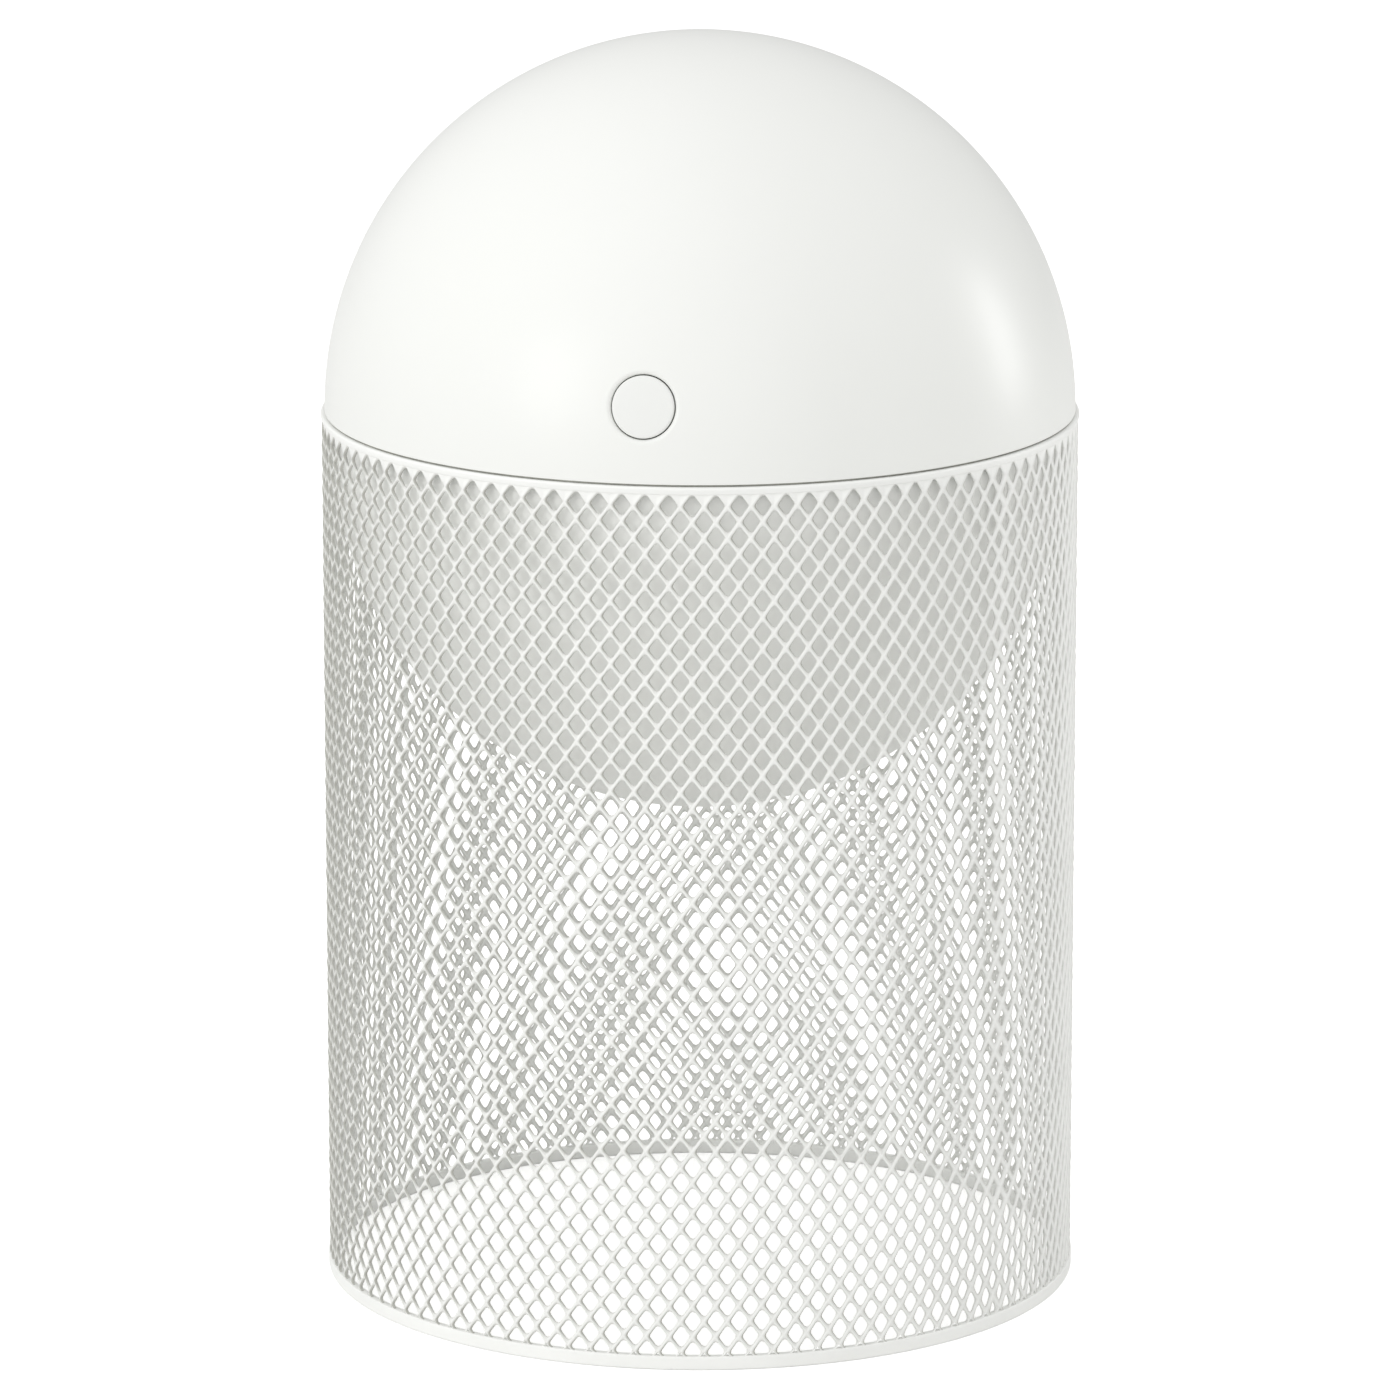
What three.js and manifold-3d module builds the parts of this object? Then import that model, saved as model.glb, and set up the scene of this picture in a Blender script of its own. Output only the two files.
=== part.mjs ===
// A free-standing rechargeable bug zapper: a round head of two shells that hangs in a mesh sleeve.
// Millimetres, +Z up. The origin is the centre of the sleeve's base, and the power button faces -Y.
import * as THREE from 'three';
import { mergeVertices } from 'three/addons/utils/BufferGeometryUtils.js';
import Module from 'manifold-3d';

const wasm = await Module();
wasm.setup();

// ---------- driving dimensions ----------
const guardDiameter = 150;          // mesh sleeve, outside
const guardHeight = 175.2;          // table to the top of the sleeve's lip
const sheetThickness = 1.2;         // expanded sheet, over its strands
const lipWidth = 2.05;              // the top edge, rolled inwards
const lipDepth = 1.4;
const topHemHeight = 2.1;           // plain band above the first row of openings
const baseHemHeight = 2.8;          // folded band that stands on the table
const baseHemThickness = 1.7;
const latticeColumns = 20;          // coarse columns, which stand for 104 real ones
const latticeRows = 10;             // staggered rows
const openWidthShare = 0.717;       // opening width over column pitch
const openHeightShare = 0.635;      // opening height over row pitch

const seamGap = 0.35;               // dark line between the sleeve and the dome
const domeStep = 0.8;               // the dome stands in from the sleeve's outside
const domeSkirt = 0.25;             // straight stretch below the dome's hemisphere
const domeWall = 2.8;
const gasketWidth = 0.8;
const bowlRunning = 0.35;           // bowl to the sleeve's lip
const bowlWall = 2.2;
const collarHeight = 6.45;          // straight stretch above the bowl's hemisphere

const buttonDiameter = 12;
const buttonRise = THREE.MathUtils.degToRad(11.25);   // above the dome's centre
const buttonTravel = 1.0;
const buttonClearance = 0.2;
const buttonLead = 0.85;            // chamfer round the button's hole
const flangeGap = 1.2;              // retaining flange to the dome's inner crown
const flangeWidth = 1.2;
const flangeThickness = 1.2;
const stemRadius = 2;
const stemLength = 3;
const switchHalf = 3;
const switchHeight = 3.4;
const plungerRadius = 1.7;
const plungerHeight = 1;
const buttonBoardHalf = 7;
const bracketHalf = 6;              // half width
const bracketThickness = 2;
const bracketStand = 3;             // depth behind the button's board
const bracketFootLength = 9;

const chargePortRise = 8;           // above the dome's centre
const flapWidth = 16;
const flapHeight = 9;
const flapThickness = 1.2;
const flapCorner = 3;
const flapClearance = 0.3;
const plugClearance = 2.2;          // rubber plug behind the flap, narrower than the hole
const plugInset = 2;
const plugCorner = 1;
const plugGap = 0.4;                // plug's end to the socket's mouth
const portWidth = 10.4;             // hole for the charging plug
const portHeight = 4.6;
const socketWidth = 8.9;
const socketHeight = 3.2;
const socketLength = 7.3;
const socketSetback = 0.7;          // socket mouth to the dome's inner wall
const socketWall = 0.4;
const boardSetback = 4;             // board's back edge behind the socket's mouth

const plateThickness = 2;
const plateClearance = 0.4;
const plateDrop = 2.25;             // plate top below the bowl's rim
const hookWidth = 8;
const hookThickness = 1.4;
const hookReach = 1.2;
const hookRootLow = 1;              // above the dome's base
const hookRootHeight = 5;
const hookDrop = 1.6;               // hook's foot below the plate
const barbGap = 0.4;                // barb to the plate's underside
const hookSlotGap = 0.3;
const bossRadius = 3.2;
const bossSetIn = 6.4;              // boss centre to the bowl's inner wall
const screwShank = 1.2;
const screwHead = 2.8;
const screwHeadHeight = 1.8;
const screwLength = 10;
const screwClearance = 0.3;

const cellRadius = 9.2;
const cellLength = 65;
const cellClearance = 0.4;
const trayWall = 1.5;
const trayDepth = 12;
const capRadius = 3;                // button end of a cell
const cellCrimp = 1;                // bevel of a cell's end
const boardThickness = 1.6;
const boardHalfWidth = 22;
const boardGap = 3;                 // battery tray to main board
const standoffRadius = 2.5;
const standoffPin = 1.2;
const standoffSetIn = 3.5;
const coreSize = [14, 14, 11];      // transformer, along X, Y and Z
const coreWall = 2.5;
const coreCentreX = -10;
const coreFront = 7;                // from the board's front edge, like the places below
const windingRadius = 2.7;
const filmCapacitorSize = [13, 5.5, 10];
const filmCapacitorPlace = [10.5, 10.75];
const canRadius = 4;                // storage capacitor
const canHeight = 9;
const canPlace = [12, 20];
const chipHeight = 1.2;
const chargeChipSize = [5, 4];
const chargeChipPlace = [0.5, 24.5];
const controlChipSize = [6, 4.5];
const controlChipPlace = [8, 3.75];

const portRadius = 13;              // opening in the bowl's pole
const grilleRim = 3;                // ring of the grille, beyond the opening
const grilleThickness = 1.6;
const grilleBar = 1.2;
const grilleGap = 8;                // clear width between bars
const flatRim = 1.6;                // flat on the bowl's pole, beyond the grille
const floorThickness = 2.2;         // bowl floor above the grille
const carrierStep = 4.5;            // outside of the carrier, beyond the opening
const carrierWall = 2.9;
const carrierHeight = 15.75;
const carrierFlange = 3.5;
const carrierFlangeHeight = 2;
const ledgeWidth = 1.4;
const gridLedge = 2.25;             // height of the electrodes' seat in the carrier
const windowLedge = 7.75;           // height of the window's seat
const windowThickness = 1.5;
const electrodeThickness = 0.8;
const electrodeBar = 0.9;
const electrodePitch = 3;           // between bars of opposite sign
const electrodeGap = 1.8;
const ledBoardThickness = 1.2;
const ledCount = 6;
const ledSetIn = 5.6;               // LED centres to the carrier's bore
const ledRadius = 1.6;
const ledHeight = 2.6;
const portScrewSetOut = 1.4;        // screw centres, beyond the opening
const portScrewShank = 0.6;
const portScrewHead = 1.0;
const portScrewHeadHeight = 0.9;
const leadRadius = 0.8;
const leadHoleRadius = 7;           // in the chassis plate
const leadHoleSetIn = 4;

const seat = 0.05;                  // between pieces that rest on each other
const turnedGap = 0.3;              // between pieces in turned groups
const round = 40;                   // facets of a large turned shape
const medium = 24;                  // facets of a middling one
const small = 16;                   // facets of a small turned shape

// ---------- what follows from them ----------
const guardRadius = guardDiameter / 2;
const sheetInner = guardRadius - sheetThickness;
const lipInner = guardRadius - lipWidth;
const domeBase = guardHeight + seamGap;
const centreZ = domeBase + domeSkirt;
const domeRadius = guardRadius - domeStep;
const domeInner = domeRadius - domeWall;
const bowlRadius = lipInner - bowlRunning;
const bowlInner = bowlRadius - bowlWall;
const bowlRim = guardHeight + seat;
const bowlCentre = bowlRim - collarHeight;
const plateTop = bowlRim - plateDrop;
const plateBottom = plateTop - plateThickness;
const plateRadius = bowlInner - plateClearance;
const grilleRadius = portRadius + grilleRim;
const flatRadius = grilleRadius + flatRim;
const flatZ = bowlCentre - Math.sqrt(bowlRadius ** 2 - flatRadius ** 2);
const grilleTop = flatZ + grilleThickness;
const floorTop = grilleTop + seat + floorThickness;
const carrierBase = floorTop + seat;
const carrierTop = carrierBase + carrierHeight;
const carrierRadius = portRadius + carrierStep;
const carrierBore = carrierRadius - carrierWall;
const ledRing = carrierBore - ledSetIn;
const portScrewRing = portRadius + portScrewSetOut;
const gridZ = carrierBase + gridLedge + seat;
const bossRing = bowlInner - bossSetIn;
const trayLength = cellLength + 2 * (cellClearance + trayWall);
const trayWidth = 4 * cellRadius + 3 * cellClearance + 2 * trayWall;
const socketZ = centreZ + chargePortRise;
const socketMouth = Math.sqrt(domeInner ** 2 - chargePortRise ** 2 - (socketWidth / 2) ** 2) - socketSetback;
const boardTop = socketZ - socketHeight / 2 - seat;
const boardBottom = boardTop - boardThickness;
const boardFront = trayWidth / 2 + boardGap;
const boardBack = socketMouth - boardSetback;

// ---------- shapes ----------
// The surface as bare corners and triangles: shared corners merged, slivers dropped, facing out.
function bare(geometry) {
  const copy = geometry.clone();
  copy.deleteAttribute('normal');
  copy.deleteAttribute('uv');
  const merged = mergeVertices(copy, 1e-4);
  const corners = merged.getAttribute('position').array;
  const index = [];
  let volume = 0;
  for (let i = 0; i < merged.index.count; i += 3) {
    const [a, b, c] = [0, 1, 2].map((k) => merged.index.getX(i + k));
    if (a === b || b === c || c === a) continue;
    index.push(a, b, c);
    const [p, q, r] = [a, b, c].map((k) => new THREE.Vector3().fromArray(corners, 3 * k));
    volume += p.dot(q.cross(r));
  }
  if (volume < 0) index.reverse();
  merged.setIndex(index);
  return merged;
}

function solid(geometry) {
  const surface = bare(geometry);
  const vertProperties = new Float32Array(surface.getAttribute('position').array);
  const triVerts = new Uint32Array(surface.index.array);
  return new wasm.Manifold(new wasm.Mesh({ numProp: 3, vertProperties, triVerts }));
}

function surfaceOf(body) {
  const mesh = body.getMesh();
  const geometry = new THREE.BufferGeometry();
  geometry.setAttribute('position', new THREE.BufferAttribute(new Float32Array(mesh.vertProperties), 3));
  geometry.setIndex(Array.from(mesh.triVerts));
  return geometry;
}

// A profile of [radius, height] points turned round +Z; a profile off the axis closes on itself.
function turned(points, facets = small) {
  const profile = points.map(([r, z]) => new THREE.Vector2(r, z));
  const onAxis = points[0][0] === 0 && points[points.length - 1][0] === 0;
  if (!onAxis) profile.push(profile[0].clone());
  return bare(new THREE.LatheGeometry(profile, facets).rotateX(Math.PI / 2));
}

function disc(radius, low, high, facets = small) {
  return turned([[0, low], [radius, low], [radius, high], [0, high]], facets);
}

function block(low, high) {
  const size = low.map((value, i) => high[i] - value);
  const middle = low.map((value, i) => (high[i] + value) / 2);
  return new THREE.BoxGeometry(...size).translate(...middle);
}

function roundedShape(width, height, corner) {
  const [w, h] = [width / 2, height / 2];
  const shape = new THREE.Shape();
  shape.moveTo(w - corner, -h).absarc(w - corner, corner - h, corner, -Math.PI / 2, 0);
  shape.absarc(w - corner, h - corner, corner, 0, Math.PI / 2);
  shape.absarc(corner - w, h - corner, corner, Math.PI / 2, Math.PI);
  shape.absarc(corner - w, corner - h, corner, Math.PI, 1.5 * Math.PI);
  return shape;
}

// A rounded slot's outline carried along +Y at the charging port's height.
function portPrism(width, height, corner, from, to) {
  const depth = to - from;
  const body = new THREE.ExtrudeGeometry(roundedShape(width, height, corner),
    { depth, bevelEnabled: false, curveSegments: 4 });
  return body.rotateX(Math.PI / 2).translate(0, to, socketZ);
}

// A flat plate cut from a shape in the XY plane.
function plateOf(shape, low, high, curveSegments = 4) {
  return new THREE.ExtrudeGeometry(shape, { depth: high - low, bevelEnabled: false, curveSegments })
    .translate(0, 0, low);
}

function polygon(points) {
  return new THREE.Shape(points.map(([x, y]) => new THREE.Vector2(x, y)));
}

// A round lead along a smooth curve through its points.
function lead(points, radius = leadRadius) {
  const path = new THREE.CatmullRomCurve3(points.map((p) => new THREE.Vector3(...p)));
  const section = new THREE.Shape();
  section.absarc(0, 0, radius, 0, 2 * Math.PI);
  return new THREE.ExtrudeGeometry(section,
    { extrudePath: path, steps: 3 * points.length, bevelEnabled: false, curveSegments: 3 });
}

function pointsOnRing(count, radius, start = 0) {
  return Array.from({ length: count }, (_, i) => {
    const angle = start + (2 * Math.PI * i) / count;
    return [radius * Math.cos(angle), radius * Math.sin(angle), angle];
  });
}

// ---------- scene graph ----------
const zapper = new THREE.Group();

// Local +Z is the button's outward direction, and the dome's centre is the group's origin.
const buttonSeat = new THREE.Group();
buttonSeat.position.z = centreZ;
buttonSeat.rotation.x = Math.PI / 2 - buttonRise;
zapper.add(buttonSeat);
buttonSeat.updateMatrixWorld(true);

function put(name, geometry, [color, roughness, metalness = 0], parent = zapper) {
  const mesh = new THREE.Mesh(geometry, new THREE.MeshStandardMaterial({ color, roughness, metalness }));
  mesh.name = name;
  parent.add(mesh);
  return mesh;
}

const whiteShell = [0xf4f5f0, 0.38];
const whiteBowl = [0xeceeea, 0.5];
const powderCoat = [0xf7f8f4, 0.45, 0.2];
const greyPlastic = [0xc9ccca, 0.6];
const darkRubber = [0x3a3b3a, 0.85];
const greenBoard = [0x1f5a3c, 0.5];
const blackPart = [0x202224, 0.5];
const steel = [0xb9bcbf, 0.35, 1];
const cellWrap = [0x2f6fae, 0.4];
const copperTape = [0xb87333, 0.4, 0.8];
const clearWindow = [0xdfe8f5, 0.08];
const ledClear = [0xcfd4ff, 0.1];
const ledBoardWhite = [0xeef0ee, 0.5];
const filmCase = [0xb5651d, 0.5];
const redLead = [0xb02a24, 0.5];

// ---------- mesh sleeve ----------
// The sheet is a flat pattern of diamonds wrapped round +Z. Column i is half a pitch wide, and
// diamonds stand where column and row are both even or both odd. Outer and inner faces share it.
function sleeveGeometry() {
  const columns = 2 * latticeColumns;
  const lowZ = baseHemHeight;
  const highZ = guardHeight - topHemHeight;
  const rowPitch = (highZ - lowZ) / ((latticeRows - 1) / 2 + openHeightShare);
  const halfHeight = (rowPitch * openHeightShare) / 2;
  const corners = [];
  const faces = [];
  const corner = (column, z, radius) => {
    const angle = (2 * Math.PI * column) / columns;
    corners.push(radius * Math.cos(angle), radius * Math.sin(angle), z);
    return corners.length / 3 - 1;
  };
  const quad = (a, b, c, d) => faces.push(a, b, c, a, c, d);
  const around = (column) => (column + columns) % columns;

  // One face of the sheet: each opening's corners by column and row, then the strands between.
  const face = (radius, outward) => {
    const points = new Map();
    const tell = (column, row, side) => points.get(`${around(column)},${row},${side}`);
    const ends = { bottom: [], top: [] };
    for (let column = 0; column < columns; column += 1) {
      for (let row = 0; row < latticeRows; row += 1) {
        if ((column + row) % 2) continue;
        const z = lowZ + halfHeight + (row * rowPitch) / 2;
        const key = (side) => `${column},${row},${side}`;
        points.set(key('left'), corner(column - openWidthShare, z, radius));
        points.set(key('right'), corner(column + openWidthShare, z, radius));
        points.set(key('bottom'), corner(column, z - halfHeight, radius));
        points.set(key('top'), corner(column, z + halfHeight, radius));
      }
      const lowest = column % 2 ? corner(column, lowZ, radius) : tell(column, 0, 'bottom');
      const onTop = (column + latticeRows - 1) % 2 === 0;
      const highest = onTop ? tell(column, latticeRows - 1, 'top') : corner(column, highZ, radius);
      if (column % 2) points.set(`${column},-1,top`, lowest);
      if (!onTop) points.set(`${column},${latticeRows},bottom`, highest);
      ends.bottom.push(lowest);
      ends.top.push(highest);
    }
    const patch = (...ring) => {
      const order = outward ? ring : ring.reverse();
      for (let i = 2; i < order.length; i += 1) faces.push(order[0], order[i - 1], order[i]);
    };
    for (let column = 0; column < columns; column += 1) {
      for (let row = 0; row < latticeRows; row += 1) {
        if ((column + row) % 2) continue;
        const [left, right] = [tell(column, row, 'left'), tell(column, row, 'right')];
        const [bottom, top] = [tell(column, row, 'bottom'), tell(column, row, 'top')];
        patch(right, tell(column + 1, row - 1, 'top'), tell(column + 2, row, 'left'));
        patch(right, tell(column + 2, row, 'left'), tell(column + 1, row + 1, 'bottom'));
        if (row === latticeRows - 1) {
          patch(top, right, tell(column + 1, row + 1, 'bottom'));
          patch(left, top, tell(column - 1, row + 1, 'bottom'));
        } else {
          patch(top, right, tell(column + 1, row + 1, 'bottom'), tell(column + 1, row + 1, 'left'));
          patch(left, top, tell(column - 1, row + 1, 'right'), tell(column - 1, row + 1, 'bottom'));
        }
        if (row === 0) {
          patch(right, bottom, tell(column + 1, -1, 'top'));
          patch(bottom, left, tell(column - 1, -1, 'top'));
        }
      }
    }
    return { tell, ends };
  };
  const outer = face(guardRadius, true);
  const inner = face(sheetInner, false);

  // The walls of each opening.
  for (let column = 0; column < columns; column += 1) {
    for (let row = 0; row < latticeRows; row += 1) {
      if ((column + row) % 2) continue;
      const sides = ['left', 'bottom', 'right', 'top'];
      sides.forEach((side, i) => {
        const next = sides[(i + 1) % 4];
        quad(outer.tell(column, row, side), outer.tell(column, row, next),
          inner.tell(column, row, next), inner.tell(column, row, side));
      });
    }
  }

  // The hems: rings of [radius, height] from the outer face, over the edge, to the inner face.
  const hem = (first, rings, last, outward) => {
    const loops = [first, ...rings.map(([radius, z]) => Array.from({ length: columns },
      (_, column) => corner(column, z, radius))), last];
    for (let k = 1; k < loops.length; k += 1) {
      for (let column = 0; column < columns; column += 1) {
        const next = around(column + 1);
        const ring = [loops[k - 1][column], loops[k - 1][next], loops[k][next], loops[k][column]];
        quad(...(outward ? ring : ring.reverse()));
      }
    }
  };
  hem(outer.ends.top, [[guardRadius, guardHeight], [lipInner, guardHeight],
    [lipInner, guardHeight - lipDepth], [sheetInner, guardHeight - lipDepth]], inner.ends.top, true);
  const hemInner = guardRadius - baseHemThickness;
  hem(outer.ends.bottom, [[guardRadius, 0], [hemInner, 0], [hemInner, baseHemHeight - seat]],
    inner.ends.bottom, false);

  const geometry = new THREE.BufferGeometry();
  geometry.setAttribute('position', new THREE.Float32BufferAttribute(corners, 3));
  geometry.setIndex(faces);
  return bare(geometry);
}
put('mesh_guard', sleeveGeometry(), powderCoat);

// ---------- head: dome ----------
// A solid of the dome's outline at any radius, so that pieces let into the dome share its facets.
function domeSolid(radius, base) {
  const arc = Array.from({ length: round / 4 + 1 }, (_, i) => {
    const angle = (2 * Math.PI * i) / round;
    return [radius * Math.cos(angle), centreZ + radius * Math.sin(angle)];
  });
  arc[arc.length - 1][0] = 0;
  return solid(turned([[0, base], [radius, base], ...arc], round));
}

function hook(angle) {
  const outside = plateRadius;
  const inside = outside - hookThickness;
  const half = hookWidth / 2;
  const rootZ = domeBase + hookRootLow;
  const foot = plateBottom - hookDrop;
  const root = block([inside, -half, rootZ], [domeInner + 1, half, rootZ + hookRootHeight]);
  const stalk = block([inside, -half, foot], [outside, half, rootZ + 1]);
  const barb = block([inside - hookReach, -half, foot], [outside, half, plateBottom - barbGap]);
  return [root, stalk, barb].map((part) => solid(part.rotateZ(angle)));
}

const buttonRadius = buttonDiameter / 2;
const holeRadius = buttonRadius + buttonClearance;
const holeMouth = Math.sqrt(domeRadius ** 2 - holeRadius ** 2) - buttonLead;
const buttonCut = solid(turned([[0, domeInner - 3], [holeRadius, domeInner - 3], [holeRadius, holeMouth],
  [holeRadius + buttonLead + 1, holeMouth + buttonLead + 1], [0, holeMouth + buttonLead + 1]], medium)
  .applyMatrix4(buttonSeat.matrixWorld));
const recessFloor = domeSolid(domeRadius - flapThickness - flapClearance, domeBase - 1);
const recessCut = solid(portPrism(flapWidth + 2 * flapClearance, flapHeight + 2 * flapClearance,
  flapCorner + flapClearance, domeInner - 12, domeRadius + 2)).subtract(recessFloor);
const portCut = solid(portPrism(portWidth, portHeight, portHeight / 2 - 0.1, domeInner - 6, domeRadius + 2));

let dome = domeSolid(domeRadius, domeBase).subtract(domeSolid(domeInner, domeBase - 1));
for (const [, , angle] of pointsOnRing(4, plateRadius, Math.PI / 4)) {
  for (const part of hook(angle)) dome = dome.add(part);
}
dome = dome.subtract(buttonCut).subtract(recessCut).subtract(portCut);
put('upper_dome', surfaceOf(dome), whiteShell);

const gasketOuter = domeRadius - 0.3;
put('seat_gasket', turned([[gasketOuter - gasketWidth, guardHeight + seat], [gasketOuter, guardHeight + seat],
  [gasketOuter, domeBase - seat], [gasketOuter - gasketWidth, domeBase - seat]], round), darkRubber);

// ---------- charging port cover ----------
const flapBody = solid(portPrism(flapWidth, flapHeight, flapCorner, domeInner - 12, domeRadius + 2))
  .intersect(domeSolid(domeRadius, domeBase))
  .subtract(domeSolid(domeRadius - flapThickness, domeBase - 1));
const flapOuterHalf = domeSolid(domeRadius, domeBase)
  .subtract(domeSolid(domeRadius - flapThickness / 2, domeBase - 1));
const plug = solid(portPrism(portWidth - plugClearance, portHeight - plugInset, plugCorner,
  socketMouth + plugGap, domeRadius - 1)).subtract(flapOuterHalf);
put('charge_port_cover', surfaceOf(flapBody.add(plug)), whiteShell);

// ---------- power button and its switch ----------
const faceZ = Math.sqrt(domeRadius ** 2 - buttonRadius ** 2);
const flangeFront = domeInner - flangeGap;
const flangeBack = flangeFront - flangeThickness;
const stemEnd = flangeBack - stemLength;
put('power_button', turned([[0, stemEnd], [stemRadius, stemEnd], [stemRadius, flangeBack],
  [buttonRadius + flangeWidth, flangeBack], [buttonRadius + flangeWidth, flangeFront],
  [buttonRadius, flangeFront], [buttonRadius, faceZ - 0.25], [buttonRadius - 0.25, faceZ],
  [0, faceZ + 0.1]], medium), whiteShell, buttonSeat);

const plungerTop = stemEnd - buttonTravel - 0.1;
const switchTop = plungerTop - plungerHeight;
const switchBase = switchTop - switchHeight;
const plunger = solid(disc(plungerRadius, switchTop - 0.5, plungerTop, 12));
const switchBody = solid(block([-switchHalf, -switchHalf, switchBase], [switchHalf, switchHalf, switchTop]));
put('tact_switch', surfaceOf(switchBody.add(plunger)), blackPart, buttonSeat);
const buttonBoardTop = switchBase - seat;
const buttonBoardBottom = buttonBoardTop - ledBoardThickness;
put('button_board', block([-buttonBoardHalf, -buttonBoardHalf, buttonBoardBottom],
  [buttonBoardHalf, buttonBoardHalf, buttonBoardTop]), greenBoard, buttonSeat);

// A bent bracket that carries the button's board on the chassis plate, its front along the board.
const seatPoint = (up) => {
  const back = buttonBoardBottom - turnedGap;
  return [up * Math.sin(buttonRise) - back * Math.cos(buttonRise),
    centreZ + back * Math.sin(buttonRise) + up * Math.cos(buttonRise)];
};
const [frontLow, frontHigh] = [seatPoint(-buttonBoardHalf), seatPoint(buttonBoardHalf)];
const bracketFoot = plateTop + seat;
const bracketSole = bracketFoot + bracketThickness;
const bracketBack = frontHigh[0] + bracketStand;
const bracketEnd = bracketBack + bracketFootLength;
const bracketShape = polygon([[frontLow[0], bracketFoot], [bracketEnd, bracketFoot],
  [bracketEnd, bracketSole], [bracketBack, bracketSole], [bracketBack, frontHigh[1]],
  frontHigh, frontLow]);
const acrossToX = new THREE.Matrix4().set(0, 0, 1, 0, 1, 0, 0, 0, 0, 1, 0, 0, 0, 0, 0, 1);
put('button_bracket', plateOf(bracketShape, -bracketHalf, bracketHalf).applyMatrix4(acrossToX), greyPlastic);

// ---------- head: bowl ----------
function bowlSolid(radius, base) {
  const arc = Array.from({ length: round / 4 + 1 }, (_, i) => {
    const angle = (2 * Math.PI * i) / round - Math.PI / 2;
    return [radius * Math.cos(angle), bowlCentre + radius * Math.sin(angle)];
  });
  arc[0][0] = 0;
  return solid(turned([...arc, [radius, base], [0, base]], round));
}

const bossFoot = bowlCentre - Math.sqrt(bowlInner ** 2 - (bossRing + bossRadius) ** 2);
const bossTop = plateBottom - seat;
const padRadius = carrierRadius + carrierFlange + 1;
let bowl = bowlSolid(bowlRadius, bowlRim).subtract(bowlSolid(bowlInner, bowlRim + 1));
const insideBowl = bowlSolid(bowlRadius - bowlWall / 2, bowlRim);
for (const [x, y] of pointsOnRing(4, bossRing)) {
  const column = solid(disc(bossRadius, bossFoot - 40, bossTop, 12).translate(x, y, 0)).intersect(insideBowl);
  bowl = bowl.add(column);
}
bowl = bowl.add(solid(disc(padRadius, flatZ - 3, floorTop, medium)).intersect(insideBowl));
for (const [x, y] of pointsOnRing(4, bossRing)) {
  const pilot = disc(screwShank + screwClearance, bossTop - screwLength - 1, bossTop + 1, 10);
  bowl = bowl.subtract(solid(pilot.translate(x, y, 0)));
}
bowl = bowl.subtract(solid(disc(bowlRadius, flatZ - 10, flatZ, 8)));
bowl = bowl.subtract(solid(disc(grilleRadius + screwClearance, flatZ - 1, grilleTop + seat, medium)));
bowl = bowl.subtract(solid(disc(portRadius, flatZ - 1, floorTop + 1, medium)));
const portScrews = pointsOnRing(3, portScrewRing, Math.PI / 2);
for (const [x, y] of portScrews) {
  bowl = bowl.subtract(solid(disc(portScrewShank + 0.2, flatZ - 1, floorTop + 1, 10).translate(x, y, 0)));
}
put('lower_bowl', surfaceOf(bowl), whiteBowl);

// ---------- chassis plate ----------
let plate = solid(disc(plateRadius, plateBottom, plateTop, round));
for (const [, , angle] of pointsOnRing(4, plateRadius, Math.PI / 4)) {
  const half = hookWidth / 2 + barbGap;
  const notch = block([plateRadius - hookThickness - hookSlotGap, -half, plateBottom - 1],
    [plateRadius + 2, half, plateTop + 1]).rotateZ(angle);
  plate = plate.subtract(solid(notch));
}
const leadHole = [0, (boardFront + boardBack) / 2 - leadHoleSetIn];
plate = plate.subtract(solid(disc(leadHoleRadius, plateBottom - 1, plateTop + 1).translate(...leadHole, 0)));
for (const [x, y] of pointsOnRing(4, bossRing)) {
  plate = plate.subtract(solid(disc(screwShank + screwClearance, plateBottom - 1, plateTop + 1, 10)
    .translate(x, y, 0)));
}
const standoffs = [];
for (const x of [-1, 1]) {
  for (const y of [boardFront + standoffSetIn, boardBack - standoffSetIn]) {
    standoffs.push([x * (boardHalfWidth - standoffSetIn), y]);
  }
}
for (const [x, y] of standoffs) {
  plate = plate.add(solid(disc(standoffRadius, plateTop - 1, boardBottom - seat, 10).translate(x, y, 0)));
  plate = plate.add(solid(disc(standoffPin, plateTop - 1, boardTop + 1, 10).translate(x, y, 0)));
}
put('chassis_plate', surfaceOf(plate), greyPlastic);

function screw(shank, head, headHeight, length) {
  return turned([[0, -length], [shank, 1 - length], [shank, 0], [head, 0], [head, headHeight * 0.6],
    [head * 0.7, headHeight], [0, headHeight]], 12);
}
pointsOnRing(4, bossRing).forEach(([x, y], i) => {
  const shape = screw(screwShank, screwHead, screwHeadHeight, screwLength);
  const body = put(`chassis_screw_${i + 1}`, shape, steel);
  body.position.set(x, y, plateTop + seat);
});

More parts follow.
